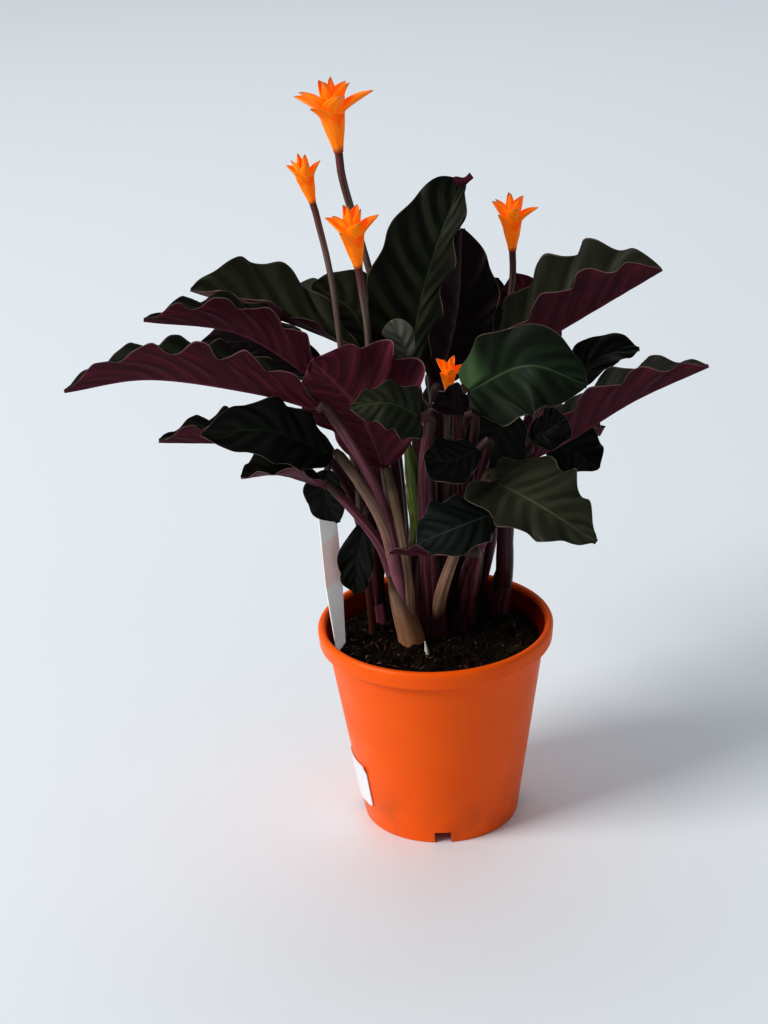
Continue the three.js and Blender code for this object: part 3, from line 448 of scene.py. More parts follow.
LEAVES = {
    "leaf_01": dict(
        midrib=[(-56, -45, 261), (-89, -50, 274), (-139, -58, 286), (-182, -60, 281)],
        faces=[(0, 0.15, 1)],
        halfWidth=23, fold=(58, 50), waves=5.5, ruffle=2.8, phase=(200, 60)),
    "leaf_02": dict(
        midrib=[(-53, -12, 261), (-95, -18, 294), (-144, -22, 304)], faces=[(0, 0.1, 1)],
        halfWidth=20, fold=(58, 52), waves=5, ruffle=2.4, phase=(20, 60)),
    "leaf_03": dict(
        midrib=[(-34, 22, 267), (-74, 22, 286), (-123, 18, 306)], faces=[(0, -0.75, 1)],
        halfWidth=24, fold=(73, 12), halves=(0.85, 1.2), ruffle=2.4, phase=(20, 60), widest=1.2),
    "leaf_04": dict(
        midrib=[(-54, 5, 262), (-86, 8, 279), (-120, 10, 278)], faces=[(0, 0.9, -0.1)],
        halfWidth=14, fold=(10, 10), ruffle=1.5),
    "leaf_05": dict(
        midrib=[(-56, 16, 249), (-85, 24, 261), (-115, 30, 263)], faces=[(0, 0.2, 1)],
        halfWidth=18, fold=(50, 50), ruffle=1.5),
    "leaf_06": dict(
        midrib=[(-50, -42, 234), (-81, -62, 257), (-114, -69, 259)], faces=[(-0.1, -0.8, 0.8)],
        halfWidth=17, fold=(12, 12), halves=(1.1, 1), waves=3.5, ruffle=2, widest=0.85, sweep=2),
    "leaf_07": dict(
        midrib=[(-63, -10, 230), (-104, -18, 234), (-141, -25, 238)], faces=[(0, 0.1, 1)],
        halfWidth=17, fold=(55, 50), ruffle=2.6),
    "leaf_08": dict(
        midrib=[(-57, -28, 211), (-78, -38, 223), (-98, -42, 223)], faces=[(0, -0.35, 1)],
        halfWidth=16, fold=(46, 30), waves=3, ruffle=2),
    "leaf_09": dict(
        midrib=[(-54, -15, 215), (-56, -17, 200), (-50, -15, 184)], faces=[(-0.1, -1, 0.2)],
        halfWidth=11, fold=(10, 10), waves=2.5, ruffle=1.2, sweep=0),
    "leaf_10": dict(
        midrib=[(-35, -6, 181), (-41, -9, 159), (-43, -6, 137)], faces=[(-0.2, -1, 0.1)],
        halfWidth=10, fold=(15, 15), waves=2.5, ruffle=1.2),
    "leaf_11": dict(
        midrib=[(-4, -50, 257), (-20, -60, 269), (-39, -62, 268)], faces=[(0.1, -0.8, 0.6)],
        halfWidth=13, fold=(10, 12), halves=(1.25, 0.9), waves=3.5, ruffle=1.8,
        scallop=(0.12, 0.12), widest=0.6, blunt=0.6, lobe=7, sweep=0),
    "leaf_12": dict(
        midrib=[(-24, -27, 220), (-36, -29, 254), (-58, -31, 283)], faces=[(0.1, 0.95, 0.3)],
        halfWidth=28, fold=(12, 12), halves=(1.35, 1), waves=4.5, ruffle=3, scallop=(0.1, 0.13),
        widest=1, lobe=12),
    "leaf_13": dict(
        midrib=[(-29, 45, 258), (-40, 50, 281), (-60, 52, 296)], faces=[(0, -0.9, 0.5)],
        halfWidth=20, fold=(10, 10), waves=3, ruffle=1.8),
    "leaf_14": dict(
        midrib=[(-10, -5, 273), (-13, -8, 285), (-18, -8, 294)], faces=[(0, -1, 0.2)],
        halfWidth=8, fold=(20, 20), waves=1.5, ruffle=0.8, blunt=0.5),
    "leaf_15": dict(
        midrib=[(-9, 5, 258), (-3, 8, 294), (8, 16, 327), (17, 24, 347), (22, 32, 356)],
        faces=[(0.1, -1, 0.25)],
        halfWidth=30, fold=(10, 45), halves=(1, 0.45), waves=4.5, ruffle=2.8, phase=(0, 144),
        scallop=(0.05, 0.22), widest=0.85, blunt=0.45, sweep=0),
    "leaf_16": dict(
        midrib=[(7, 32, 242), (18, 40, 282), (22, 52, 324)], faces=[(0, 1, 0.3)],
        halfWidth=23, fold=(15, 15), waves=3.5, ruffle=2.6),
    "leaf_17": dict(
        midrib=[(32, 15, 254), (77, 10, 283), (124, 2, 313)], faces=[(0, -0.2, 1)],
        halfWidth=27, fold=(55, 72), halves=(1.3, 1), waves=4.5, ruffle=2.8, widest=1.05, blunt=0.62),
    "leaf_18": dict(
        midrib=[(21, -25, 260), (51, -46, 281), (81, -48, 270)], faces=[(0, -0.9, 0.45)],
        halfWidth=24, fold=(10, 10), halves=(0.9, 1.12), waves=3.5, ruffle=2, widest=0.74, lobe=11),
    "leaf_19": dict(
        midrib=[(74, 40, 233), (95, 45, 251), (116, 42, 255)], faces=[(0, -0.6, 0.8)],
        halfWidth=12, fold=(10, 20), waves=3, ruffle=1.6),
    "leaf_20": dict(
        midrib=[(57, 15, 205), (77, 12, 217), (110, 4, 241), (148, -4, 261)], faces=[(0, 0.1, 1)],
        halfWidth=21, fold=(58, 52), waves=4.5, ruffle=2.2),
    "leaf_21": dict(
        midrib=[(63, 30, 205), (79, 28, 203), (92, 20, 195)], faces=[(0.2, -0.7, 0.6)],
        halfWidth=16, fold=(10, 10), waves=2.5, ruffle=1.4, sweep=2),
    "leaf_22": dict(
        midrib=[(34, -35, 213), (56, -62, 210), (83, -78, 196)], faces=[(0.1, -0.55, 0.8)],
        halfWidth=27, fold=(8, 8), halves=(1, 0.9), ruffle=2.2, scallop=(0.1, 0.1),
        widest=0.72, blunt=0.8, lobe=38, sweep=0),
    "leaf_23": dict(
        midrib=[(33, -46, 200), (13, -60, 199), (-8, -66, 193)], faces=[(-0.1, -0.6, 0.8)],
        halfWidth=18, fold=(10, 10), waves=3.5, ruffle=1.6, scallop=(0.08, 0.08)),
    "leaf_24": dict(
        midrib=[(30, 62, 239), (36, 64, 264), (40, 66, 291)], faces=[(0, -1, 0.2)],
        halfWidth=13, fold=(10, 10), waves=2.5, ruffle=1.2),
    "leaf_25": dict(
        midrib=[(71, 48, 254), (57, 52, 275), (49, 54, 297)], faces=[(0, 1, 0.2)],
        halfWidth=14, fold=(10, 10), waves=2.5, ruffle=1.2),
    "leaf_26": dict(
        midrib=[(19, -36, 252), (10, -39, 259), (3, -42, 261)], faces=[(0, 0.8, 0.6)],
        halfWidth=13, fold=(15, 15), waves=2.5, ruffle=1.6),
    "leaf_27": dict(
        midrib=[(25, -38, 233), (10, -46, 230), (-3, -48, 234)], faces=[(0, -0.7, 0.7)],
        halfWidth=14, fold=(10, 10), waves=2.5, ruffle=1.4),
    "leaf_28": dict(
        midrib=[(16, -38, 174), (-4, -48, 179), (-23, -54, 183)], faces=[(0, 0.6, 1)],
        halfWidth=9, fold=(25, 25), waves=2.5, ruffle=1.2),
    "leaf_29": dict(
        midrib=[(44, 1, 238), (36, -2, 223), (26, -6, 208)], faces=[(0, -1, 0.3)],
        halfWidth=17.5, fold=(10, 10), waves=2.5, ruffle=1.4, blunt=0.5),
    "leaf_30": dict(
        midrib=[(54, -1, 224), (63, -6, 229), (73, -6, 236)], faces=[(0, -0.8, 0.5)],
        halfWidth=11, fold=(10, 10), waves=2.5, ruffle=1.4),
    "leaf_31": dict(
        midrib=[(-26, 58, 238), (-60, 90, 262), (-92, 116, 252)], faces=[(0.3, -0.3, 1)],
        halfWidth=24, fold=(50, 50), waves=4.5, ruffle=2.6),
    "leaf_32": dict(
        midrib=[(2, 68, 242), (-6, 106, 264), (-14, 142, 256)], faces=[(0, -0.2, 1)],
        halfWidth=25, fold=(48, 48), waves=4.5, ruffle=2.6, phase=(40, 100)),
    "leaf_33": dict(
        midrib=[(36, 66, 232), (66, 96, 256), (94, 124, 248)], faces=[(-0.3, -0.3, 1)],
        halfWidth=24, fold=(50, 50), waves=4.5, ruffle=2.6),
    "leaf_34": dict(
        midrib=[(12, 66, 196), (18, 102, 206), (24, 136, 190)], faces=[(0, -0.1, 1)],
        halfWidth=22, ruffle=2.4, phase=(70, 10)),
    "leaf_35": dict(
        midrib=[(-30, 50, 196), (-58, 78, 206), (-84, 100, 192)], faces=[(0.2, -0.2, 1)],
        halfWidth=21, ruffle=2.4),
    "leaf_36": dict(
        midrib=[(50, 62, 190), (76, 84, 196), (98, 104, 180)], faces=[(-0.2, -0.2, 1)],
        halfWidth=19, fold=(25, 25), waves=3.5, ruffle=2.2),
}
SHOOTS = {
    "shoot_front": dict(
        foot=(-13, -9), radius=6.2, top=(-24, -18, 152),
        leaves=("leaf_01", "leaf_06", "leaf_12", "leaf_08")),
    "shoot_left": dict(
        foot=(-31, 26), radius=6.2, top=(-33, 22, 146),
        leaves=("leaf_02", "leaf_07", "leaf_10", "leaf_05", "leaf_09")),
    "shoot_middle": dict(
        foot=(-2, 4), radius=8.5, top=(-1, -1, 160),
        leaves=("leaf_15", "leaf_11", "leaf_14", "leaf_22")),
    "shoot_right": dict(
        foot=(15, 13), radius=8, top=(18, 8, 156),
        leaves=("leaf_18", "leaf_23", "leaf_28", "leaf_17", "leaf_27", "leaf_26", "leaf_29")),
    "shoot_far_right": dict(
        foot=(36, 30), radius=7, top=(44, 28, 150),
        leaves=("leaf_30", "leaf_20", "leaf_21")),
    "shoot_back_left": dict(
        foot=(-15, 36), radius=6, top=(-20, 38, 150),
        leaves=("leaf_03", "leaf_04", "leaf_13", "leaf_31", "leaf_35")),
    "shoot_back": dict(
        foot=(9, 42), radius=6, top=(10, 48, 155),
        leaves=("leaf_16", "leaf_32", "leaf_34", "leaf_24")),
    "shoot_back_right": dict(
        foot=(24, 44), radius=5.6, top=(34, 46, 150),
        leaves=("leaf_19", "leaf_25", "leaf_33", "leaf_36")),
}
# Where a stalk passes on its way from its clump to its blade, for the few that don't go straight there.
STALK_TURNS = {"leaf_02": (-29, 8, 205), "leaf_15": (-3, 15, 200), "leaf_11": (-3, -27, 212),
               "leaf_14": (-3, -7, 222), "leaf_22": (6, -20, 150)}
STALK_DEPTH = 20.0
FIT_GAP = 0.4
PETIOLE_RADIUS = 2.3
PULVINUS_LENGTH = 7.0
PETIOLE_BOW = 0.14


def unit(vector):
    return vector / (np.linalg.norm(vector, axis=-1, keepdims=True) + 1e-12)


def along_path(points, shares):
    """Places on a smooth curve through the points, at shares of its length."""
    points = np.array(points, float)
    last = len(points) - 1
    fine = []
    for share in np.linspace(0, 1, 241):
        which = min(int(share * last), last - 1)
        w = share * last - which
        p1, p2 = points[which], points[which + 1]
        p0 = points[which - 1] if which > 0 else 2 * p1 - p2
        p3 = points[which + 2] if which + 2 <= last else 2 * p2 - p1
        v0, v1 = (p2 - p0) / 2, (p3 - p1) / 2
        cubic = (2 * p1 - 2 * p2 + v0 + v1) * w ** 3
        fine.append(cubic + (3 * p2 - 3 * p1 - 2 * v0 - v1) * w * w + v0 * w + p1)
    fine = np.array(fine)
    lengths = np.concatenate([[0], np.cumsum(np.linalg.norm(np.diff(fine, axis=0), axis=1))])
    wanted = np.clip(shares, 0, 1) * lengths[-1]
    return np.stack([np.interp(wanted, lengths, fine[:, axis]) for axis in range(3)], -1)


class Shape:
    """A mesh in the making: points in millimetres, faces, and three marks at each point for its material."""

    def __init__(self):
        self.vertices = []
        self.faces = []
        self.marks = []
        self.slots = []

    def add(self, vertices, faces, marks, slots=0):
        first = len(self.vertices)
        self.vertices.extend(vertices)
        self.faces.extend([tuple(first + corner for corner in face) for face in faces])
        self.marks.extend(marks)
        self.slots.extend(slots if isinstance(slots, list) else [slots] * len(faces))

    def make(self, name, materials, smooth_angle=50):
        piece = new_piece(name, self.vertices, self.faces, smooth_angle)
        marks = piece.data.attributes.new("growth", "FLOAT_VECTOR", "POINT")
        marks.data.foreach_set("vector", np.array(self.marks, np.float32).ravel())
        for material in materials:
            piece.data.materials.append(material)
        piece.data.polygons.foreach_set("material_index", self.slots)
        return piece


def swept(points, radii, steps, sides, section=None, tone=0.5):
    """A round stalk through the points. `section` gives a factor on the radius by turn and share along."""
    shares = np.linspace(0, 1, steps + 1)
    centres = along_path(points, shares)
    forward = unit(np.gradient(centres, axis=0))
    across = np.cross(forward[0], (0.31, 0.95, 0.05))
    vertices, marks = [], []
    for step in range(steps + 1):
        across = unit(across - np.dot(across, forward[step]) * forward[step])
        other = np.cross(forward[step], across)
        radius = np.interp(shares[step], np.linspace(0, 1, len(radii)), radii)
        for side in range(sides):
            turn = 2 * math.pi * side / sides
            size = radius * (section(turn, shares[step]) if section else 1.0)
            vertices.append(centres[step] + size * (math.cos(turn) * across + math.sin(turn) * other))
            marks.append((shares[step], side / sides, tone))
    faces = []
    for step in range(steps):
        for side in range(sides):
            low = step * sides
            after = (side + 1) % sides
            faces.append((low + side, low + after, low + sides + after, low + sides + side))
    faces.append(tuple(range(sides - 1, -1, -1)))
    top = steps * sides
    faces.append(tuple(range(top, top + sides)))
    return vertices, faces, marks


def petiole_path(shoot, midrib, via):
    """From inside the shoot's foot, bowed a little inward, to the joint in line with its blade."""
    foot = np.array(shoot["foot"], float)
    end = np.array(midrib[0], float)
    forward = unit(np.diff(along_path(midrib, np.array([0.0, 0.01])), axis=0))[0]
    outward = np.array([end[0] - foot[0], end[1] - foot[1], 0.0])
    reach = np.linalg.norm(outward)
    outward = outward / reach
    start = np.array([foot[0], foot[1], SOIL_LEVEL + 5]) + outward * shoot["radius"] * 0.4
    joint = end - forward * PULVINUS_LENGTH
    if via is None:
        middle = (start + joint) / 2 - outward * PETIOLE_BOW * reach
        middle[2] += PETIOLE_BOW * (end[2] - SOIL_LEVEL) * 0.5
    else:
        middle = np.array(via, float)
    return [start, middle, joint, end - forward * FIT_GAP]


def grooved(turn, share):
    """A shallow channel along the inner side, deepest low on the stalk."""
    return 1.0 - 0.16 * (1 - share) * max(0.0, math.cos(turn)) ** 6 + 0.025 * math.cos(5 * turn)


def sheathed(turn, share):
    """Overlapping sheath edges round the foot of a shoot."""
    return 1.0 + 0.07 * math.sin(3 * turn + 2.5 * share) + 0.05 * ((turn / (2 * math.pi) * 2) % 1.0)


def growth_marks(tree):
    """A point's marks: its share along the piece, its place round or across it, and a tone."""
    return parted(tree, add_node(tree, "Attribute", attribute_name="growth").outputs["Vector"])


# The stalks' skin: wine red to mauve, fawn low down where the sheaths are old, dark at the joint, and
# streaked along its length. The third mark of a point moves the whole stalk between wine red and fawn; the
# deepest wine is also painted shade, given to the stalks and sheaths that stand inside the clumps.
streaks, into, out = new_group("streaks", {"Around": 14.0, "Along": 3.0}, ["Lines", "Cloud"])
share, around, tone = growth_marks(streaks)
line_place = joined(streaks, times(streaks, share, into["Along"]), times(streaks, around, into["Around"]),
                    times(streaks, tone, 37.0))
feed(streaks, out["Lines"], mottle(streaks, 1.0, 5.0, 0.6, line_place))
feed(streaks, out["Cloud"], mottle(streaks, 60.0, 3.0))

stalk_skin, tree, shader = new_material("leaf_stalk_skin", roughness=0.44, specular_ior_level=0.22)
fibres = use_group(tree, streaks, {"Around": 16.0, "Along": 2.2})
share, around, tone = growth_marks(tree)
streak = span(tree, fibres["Lines"], 0.35, 0.68)
wine = blend(tree, streak, (0.022, 0.0042, 0.0065, 1), (0.090, 0.020, 0.027, 1))
mauve = blend(tree, streak, (0.085, 0.017, 0.030, 1), (0.30, 0.105, 0.140, 1))
fawn = blend(tree, streak, (0.17, 0.088, 0.055, 1), (0.37, 0.235, 0.155, 1))
skin = blend(tree, span(tree, tone, 0.08, 0.36), wine, mauve)
skin = blend(tree, span(tree, tone, 0.42, 0.85), skin, fawn)
olive = times(tree, span(tree, share, 0.60, 0.90, 0.0, 0.60), span(tree, tone, 0.3, 0.6))
skin = blend(tree, olive, skin, (0.13, 0.105, 0.052, 1))
skin = blend(tree, span(tree, share, 0.84, 0.93, 0.0, 0.80), skin, (0.045, 0.026, 0.018, 1))
skin = blend(tree, span(tree, fibres["Cloud"], 0.45, 0.75, 0.0, 0.35), skin, (0.05, 0.012, 0.014, 1))
height = parted(tree, place_in_metres(tree))[2]
old_foot = times(tree, span(tree, height, 0.110, 0.138, 1.0, 0.0), span(tree, tone, 0.4, 0.7))
skin = blend(tree, times(tree, old_foot, 0.65), skin, (0.42, 0.195, 0.085, 1))
# The palest stalks turn wine dark just above the soil: painted shade at the foot of the clumps.
near_soil = span(tree, height, 0.116, 0.134, 1.0, 0.0)
painted_foot_shade = times(tree, near_soil, span(tree, tone, 0.79, 0.81))
skin = blend(tree, painted_foot_shade, skin, wine)
tree.links.new(skin, shader.inputs["Base Color"])
emboss(tree, shader, fibres["Lines"], 0.35, 0.0005)

# How fawn each stalk is: the front ones are old and pale, those in the middle wine red and kept dark as
# painted shade. A few are stouter.
STALK_TONES = {
    "leaf_01": 0.36, "leaf_06": 0.7, "leaf_12": 0.78, "leaf_02": 0.25, "leaf_07": 0.3, "leaf_08": 0.3,
    "leaf_09": 0.2, "leaf_10": 0.15, "leaf_05": 0.15, "leaf_15": 0.2, "leaf_11": 0.22, "leaf_14": 0.16,
    "leaf_18": 0.16, "leaf_23": 0.42, "leaf_28": 0.16, "leaf_22": 0.82, "leaf_17": 0.12, "leaf_27": 0.1,
    "leaf_26": 0.1, "leaf_29": 0.1, "leaf_30": 0.12, "leaf_20": 0.14, "leaf_21": 0.14, "leaf_16": 0.08,
    "leaf_24": 0.1, "leaf_32": 0.08, "leaf_34": 0.08,
}
STALK_GIRTHS = {"leaf_12": 1.15, "leaf_01": 1.15, "leaf_06": 1.1, "leaf_15": 1.9, "leaf_11": 1.3,
                "leaf_14": 1.3, "leaf_16": 1.6, "leaf_29": 1.4, "leaf_28": 1.3, "leaf_17": 1.4,
                "leaf_24": 1.5, "leaf_34": 1.5, "leaf_32": 1.4, "leaf_20": 1.3}
SHEATH_GIRTHS = {"shoot_front": 1.2, "shoot_middle": 1.1, "shoot_right": 1.1}
# How fawn each clump's sheaths are; the low tones of the inner clumps are painted shade.
SHEATH_TONES = {"shoot_front": 0.74, "shoot_left": 0.30, "shoot_right": 0.12, "shoot_far_right": 0.22}
SHEATH_TAPER = np.array([0.88, 1.0, 1.0, 0.97, 0.90, 0.78, 0.60, 0.38, 0.12])
STALK_TAPER = np.array([1.0, 1.4, 1.65, 1.7, 1.58, 1.46, 1.36, 1.27, 1.2, 1.14, 1.1, 1.12, 0.9])

for shoot_name, shoot in SHOOTS.items():
    clump = Shape()
    x, y = shoot["foot"]
    below = (x, y, SOIL_LEVEL - STALK_DEPTH)
    sheath_radii = SHEATH_TAPER * shoot["radius"] * SHEATH_GIRTHS.get(shoot_name, 1.0)
    clump.add(*swept([below, (x, y, SOIL_LEVEL + 3), shoot["top"]], sheath_radii, 30, 28,
                     sheathed, SHEATH_TONES.get(shoot_name, 0.14)))
    for leaf_name in shoot["leaves"]:
        path = petiole_path(shoot, LEAVES[leaf_name]["midrib"], STALK_TURNS.get(leaf_name))
        radii = STALK_TAPER * PETIOLE_RADIUS * STALK_GIRTHS.get(leaf_name, 1.0)
        clump.add(*swept(path, radii, 44, 16, grooved, STALK_TONES.get(leaf_name, 0.25)))
    settle(clump.make("stalks_" + shoot_name[6:], [stalk_skin]), "leaf_stalk", shoot_name)

# ---------------------------------------------------------------------------------------------- leaf blades
# A thin leathery blade with a wavy margin and broad slanting pleats between its side veins. The upper side
# is near-black green, feathered grey-green along the veins and shining softly; the underside is wine purple
# with paler veins. The margin is a fine pale line.

BLADE = dict(faces=[(0, 0, 1)], fold=(30, 30), halves=(1, 1), widest=0.8, blunt=0.72, waves=4, ruffle=2,
             scallop=(0.07, 0.07), phase=(0, 90), lobe=0, sweep=6)
BLADE_THICKNESS = 0.55
BASE_HALF_WIDTH = 1.6
SCALLOP_LAG = 1.2
LOBE_REACH = 0.3
PLEAT_SLANT = 0.22
RIBS_TO_A_WAVE = 2
RIB_HEIGHT = 0.5
RIM_SHARE = 0.12
RIDGE_HEIGHT = 0.75
RIDGE_WIDTH = 1.1
LEAST_ROWS = 60
ROWS_TO_A_WAVE = 26
BLADE_COLUMNS = 28


def sheet_faces(rows, columns):
    """Faces of a closed thin sheet: a grid of points above, the same grid below, and the rim between them.
    Slots: 0 above, 1 below and across the first row, 2 the rest of the rim."""
    wide = columns + 1
    count = (rows + 1) * wide
    faces, slots = [], []
    for row in range(rows):
        for column in range(columns):
            a = row * wide + column
            faces.append((a, a + 1, a + wide + 1, a + wide))
            faces.append((a + count, a + wide + count, a + wide + 1 + count, a + 1 + count))
            slots.extend((0, 1))
        left, right = row * wide, row * wide + columns
        faces.append((left, left + wide, left + wide + count, left + count))
        faces.append((right, right + count, right + wide + count, right + wide))
        slots.extend((2, 2))
    for column in range(columns):
        base, tip = column, rows * wide + column
        faces.append((base, base + count, base + 1 + count, base + 1))
        faces.append((tip, tip + 1, tip + 1 + count, tip + count))
        slots.extend((1, 2))
    return faces, slots


def blade_points(leaf, shares, across):
    """Points of the blade's middle surface, row by row from its base to its tip."""
    middle = along_path(leaf["midrib"], shares)
    forward = unit(along_path(leaf["midrib"], shares + 0.01) - along_path(leaf["midrib"], shares - 0.01))
    first, final = np.array(leaf["faces"][0], float), np.array(leaf["faces"][-1], float)
    up = first + (final - first) * shares[:, None]
    up = unit(up - np.sum(up * forward, -1, keepdims=True) * forward)
    side_way = np.cross(forward, up)
    outline = np.where(shares >= 1, 0, np.abs(np.sin(np.pi * shares ** leaf["widest"])) ** leaf["blunt"])
    belly = np.maximum(np.sin(np.pi * shares), 0)
    rows = np.zeros((len(shares), len(across), 3))
    pleats = np.zeros((len(shares), len(across)))
    uneven = 1 + 0.26 * np.sin(2 * np.pi * 1.35 * shares + leaf["halfWidth"])
    drift = 0.09 * np.sin(2 * np.pi * 0.9 * shares + 2.1 * leaf["halfWidth"])
    for column, s in enumerate(across):
        half = 1 if s > 0 else 0
        out = abs(s)
        fold = math.radians(leaf["fold"][half])
        start = leaf["phase"][half] / 360
        pleat = leaf["waves"] * (shares + PLEAT_SLANT * (1 - out)) + start + drift
        wave = 2 * np.pi * pleat
        full = np.maximum(leaf["halfWidth"] * outline * leaf["halves"][half], BASE_HALF_WIDTH)
        width = full * out * (1 + leaf["scallop"][half] * out * np.sin(wave + SCALLOP_LAG))
        lift = leaf["ruffle"] * uneven * out ** 1.8 * np.sin(wave) * belly ** 0.4
        lift += RIB_HEIGHT * np.cos(RIBS_TO_A_WAVE * wave) * belly ** 0.5 * out ** 0.4 * (1 - 0.6 * out)
        frill = 0.16 * leaf["ruffle"] * out ** 5 * np.sin(2.7 * wave + 1.1) * belly
        channel = 0.35 * math.exp(-((out * leaf["halfWidth"]) / 1.3) ** 2)
        back = leaf["lobe"] * out ** 1.3 * outline * np.maximum(1 - shares / LOBE_REACH, 0) ** 1.2
        rows[:, column] = (
            middle
            + side_way * (math.copysign(1, s) * width * math.cos(fold))[:, None]
            + up * (width * math.sin(fold) + lift + frill - channel * belly)[:, None]
            + forward * (leaf["sweep"] * out * belly - back)[:, None])
        pleats[:, column] = pleat
    return rows, pleats


def blade_shape(leaf, rows_along):
    """A closed thin blade. Material slots: 0 the upper side, 1 the underside, 2 the margin."""
    shares = np.linspace(0, 1, rows_along + 1)
    spread = np.linspace(-1, 1, BLADE_COLUMNS + 1)
    across = np.sign(spread) * np.abs(spread) ** 0.85
    rows, pleats = blade_points(leaf, shares, across)
    normal = unit(np.cross(np.gradient(rows, axis=1), np.gradient(rows, axis=0)))
    rim = np.clip((1 - np.abs(across)) / RIM_SHARE, 0.35, 1.0)[None, :, None]
    ridge = RIDGE_HEIGHT * np.exp(-(across * leaf["halfWidth"] / RIDGE_WIDTH) ** 2)[None, :, None]
    taper = 1 - shares[:, None, None] * 0.75
    above = rows + normal * BLADE_THICKNESS / 2 * rim
    below = rows - normal * (BLADE_THICKNESS / 2 * rim + ridge * taper)
    marks = [(share, s, pleats[row, column]) for row, share in enumerate(shares)
             for column, s in enumerate(across)]
    faces, slots = sheet_faces(rows_along, BLADE_COLUMNS)
    blade = Shape()
    blade.add(list(above.reshape(-1, 3)) + list(below.reshape(-1, 3)), faces, marks + marks, slots)
    return blade


# Veins: masks from a blade's own marks, which are the share along it, the share across it and its pleats.
veins, into, out = new_group(
    "veins", {"Midrib Width": 0.05}, ["Midrib", "Bands", "Fade", "Middle", "Lines", "Margin", "Cloud"])
share, across, pleat = growth_marks(veins)
from_middle = reckon(veins, "ABSOLUTE", across)
wobble = span(veins, mottle(veins, 26.0, 1.0), 0.3, 0.7, -0.07, 0.07, smooth=False)
band_turn = times(veins, reckon(veins, "ADD", pleat, wobble), 2 * math.pi * RIBS_TO_A_WAVE)
line_place = joined(
    veins, times(veins, pleat, 10.0), times(veins, from_middle, 1.5), reckon(veins, "SIGN", across))
feed(veins, out["Midrib"], span(veins, from_middle, 0.0, into["Midrib Width"], 1.0, 0.0))
feed(veins, out["Bands"], span(veins, reckon(veins, "COSINE", band_turn), -0.75, 1.0))
feed(veins, out["Fade"], span(veins, from_middle, 0.35, 1.0, 1.0, 0.0))
feed(veins, out["Middle"], span(veins, from_middle, 0.03, 0.30, 1.0, 0.0))
feed(veins, out["Lines"], mottle(veins, 1.0, 5.0, 0.6, line_place))
feed(veins, out["Margin"], span(veins, from_middle, 0.975, 0.992))
feed(veins, out["Cloud"], mottle(veins, 34.0))


def upper_skin(name, dark, light, rib, feather=0.95, specular=0.22, gloss=0.46):
    """The upper side: a dark ground, paler bands along the side veins, and a thin pale midrib."""
    material, tree, shader = new_material(name, specular_ior_level=specular)
    marks = use_group(tree, veins, {"Midrib Width": 0.045})
    reach = span(tree, marks["Fade"], 0.0, 1.0, 0.32 * feather, feather, smooth=False)
    colour = blend(tree, times(tree, marks["Bands"], reach), dark, light)
    colour = blend(tree, times(tree, marks["Middle"], 0.32), colour, light)
    colour = blend(tree, span(tree, marks["Lines"], 0.42, 0.66, 0.0, 0.25), colour, dark)
    colour = blend(tree, span(tree, marks["Cloud"], 0.45, 0.70, 0.0, 0.45), colour, dark)
    colour = blend(tree, times(tree, marks["Midrib"], 0.8), colour, rib)
    colour = blend(tree, times(tree, marks["Margin"], 0.45), colour, (0.20, 0.14, 0.11, 1))
    tree.links.new(colour, shader.inputs["Base Color"])
    tree.links.new(span(tree, marks["Lines"], 0.3, 0.7, gloss, gloss + 0.12), shader.inputs["Roughness"])
    relief = reckon(tree, "SUBTRACT", times(tree, marks["Lines"], 0.8), marks["Midrib"])
    emboss(tree, shader, relief, 0.35, 0.0005)
    return material, tree, shader, colour


def under_skin(name, deep, pale, rib):
    """The underside: wine purple, streaked with rose along its side veins, with soft paler bands over the
    pleats that are painted light and shade.
    """
    material, tree, shader = new_material(name, specular_ior_level=0.15)
    marks = use_group(tree, veins, {"Midrib Width": 0.06})
    streak = times(tree, span(tree, marks["Lines"], 0.38, 0.68), 0.40)
    # The bands on the underside are painted light and shade of the pleats; the streaks are its paler veins.
    colour = blend(tree, reckon(tree, "ADD", times(tree, marks["Bands"], 0.24), streak), deep, pale)
    colour = blend(tree, span(tree, marks["Cloud"], 0.45, 0.70, 0.0, 0.40), colour, deep)
    colour = blend(tree, times(tree, marks["Midrib"], 0.7), colour, rib)
    colour = blend(tree, times(tree, marks["Margin"], 0.6), colour, (0.30, 0.16, 0.15, 1))
    tree.links.new(colour, shader.inputs["Base Color"])
    tree.links.new(span(tree, marks["Lines"], 0.3, 0.7, 0.48, 0.62), shader.inputs["Roughness"])
    emboss(tree, shader, reckon(tree, "ADD", marks["Lines"], marks["Midrib"]), 0.35, 0.0005)
    return material


dark_upper = upper_skin("blade_upper_dark", (0.0050, 0.0060, 0.0028, 1), (0.037, 0.044, 0.021, 1),
                        (0.075, 0.105, 0.052, 1), 0.85, 0.14, 0.48)[0]
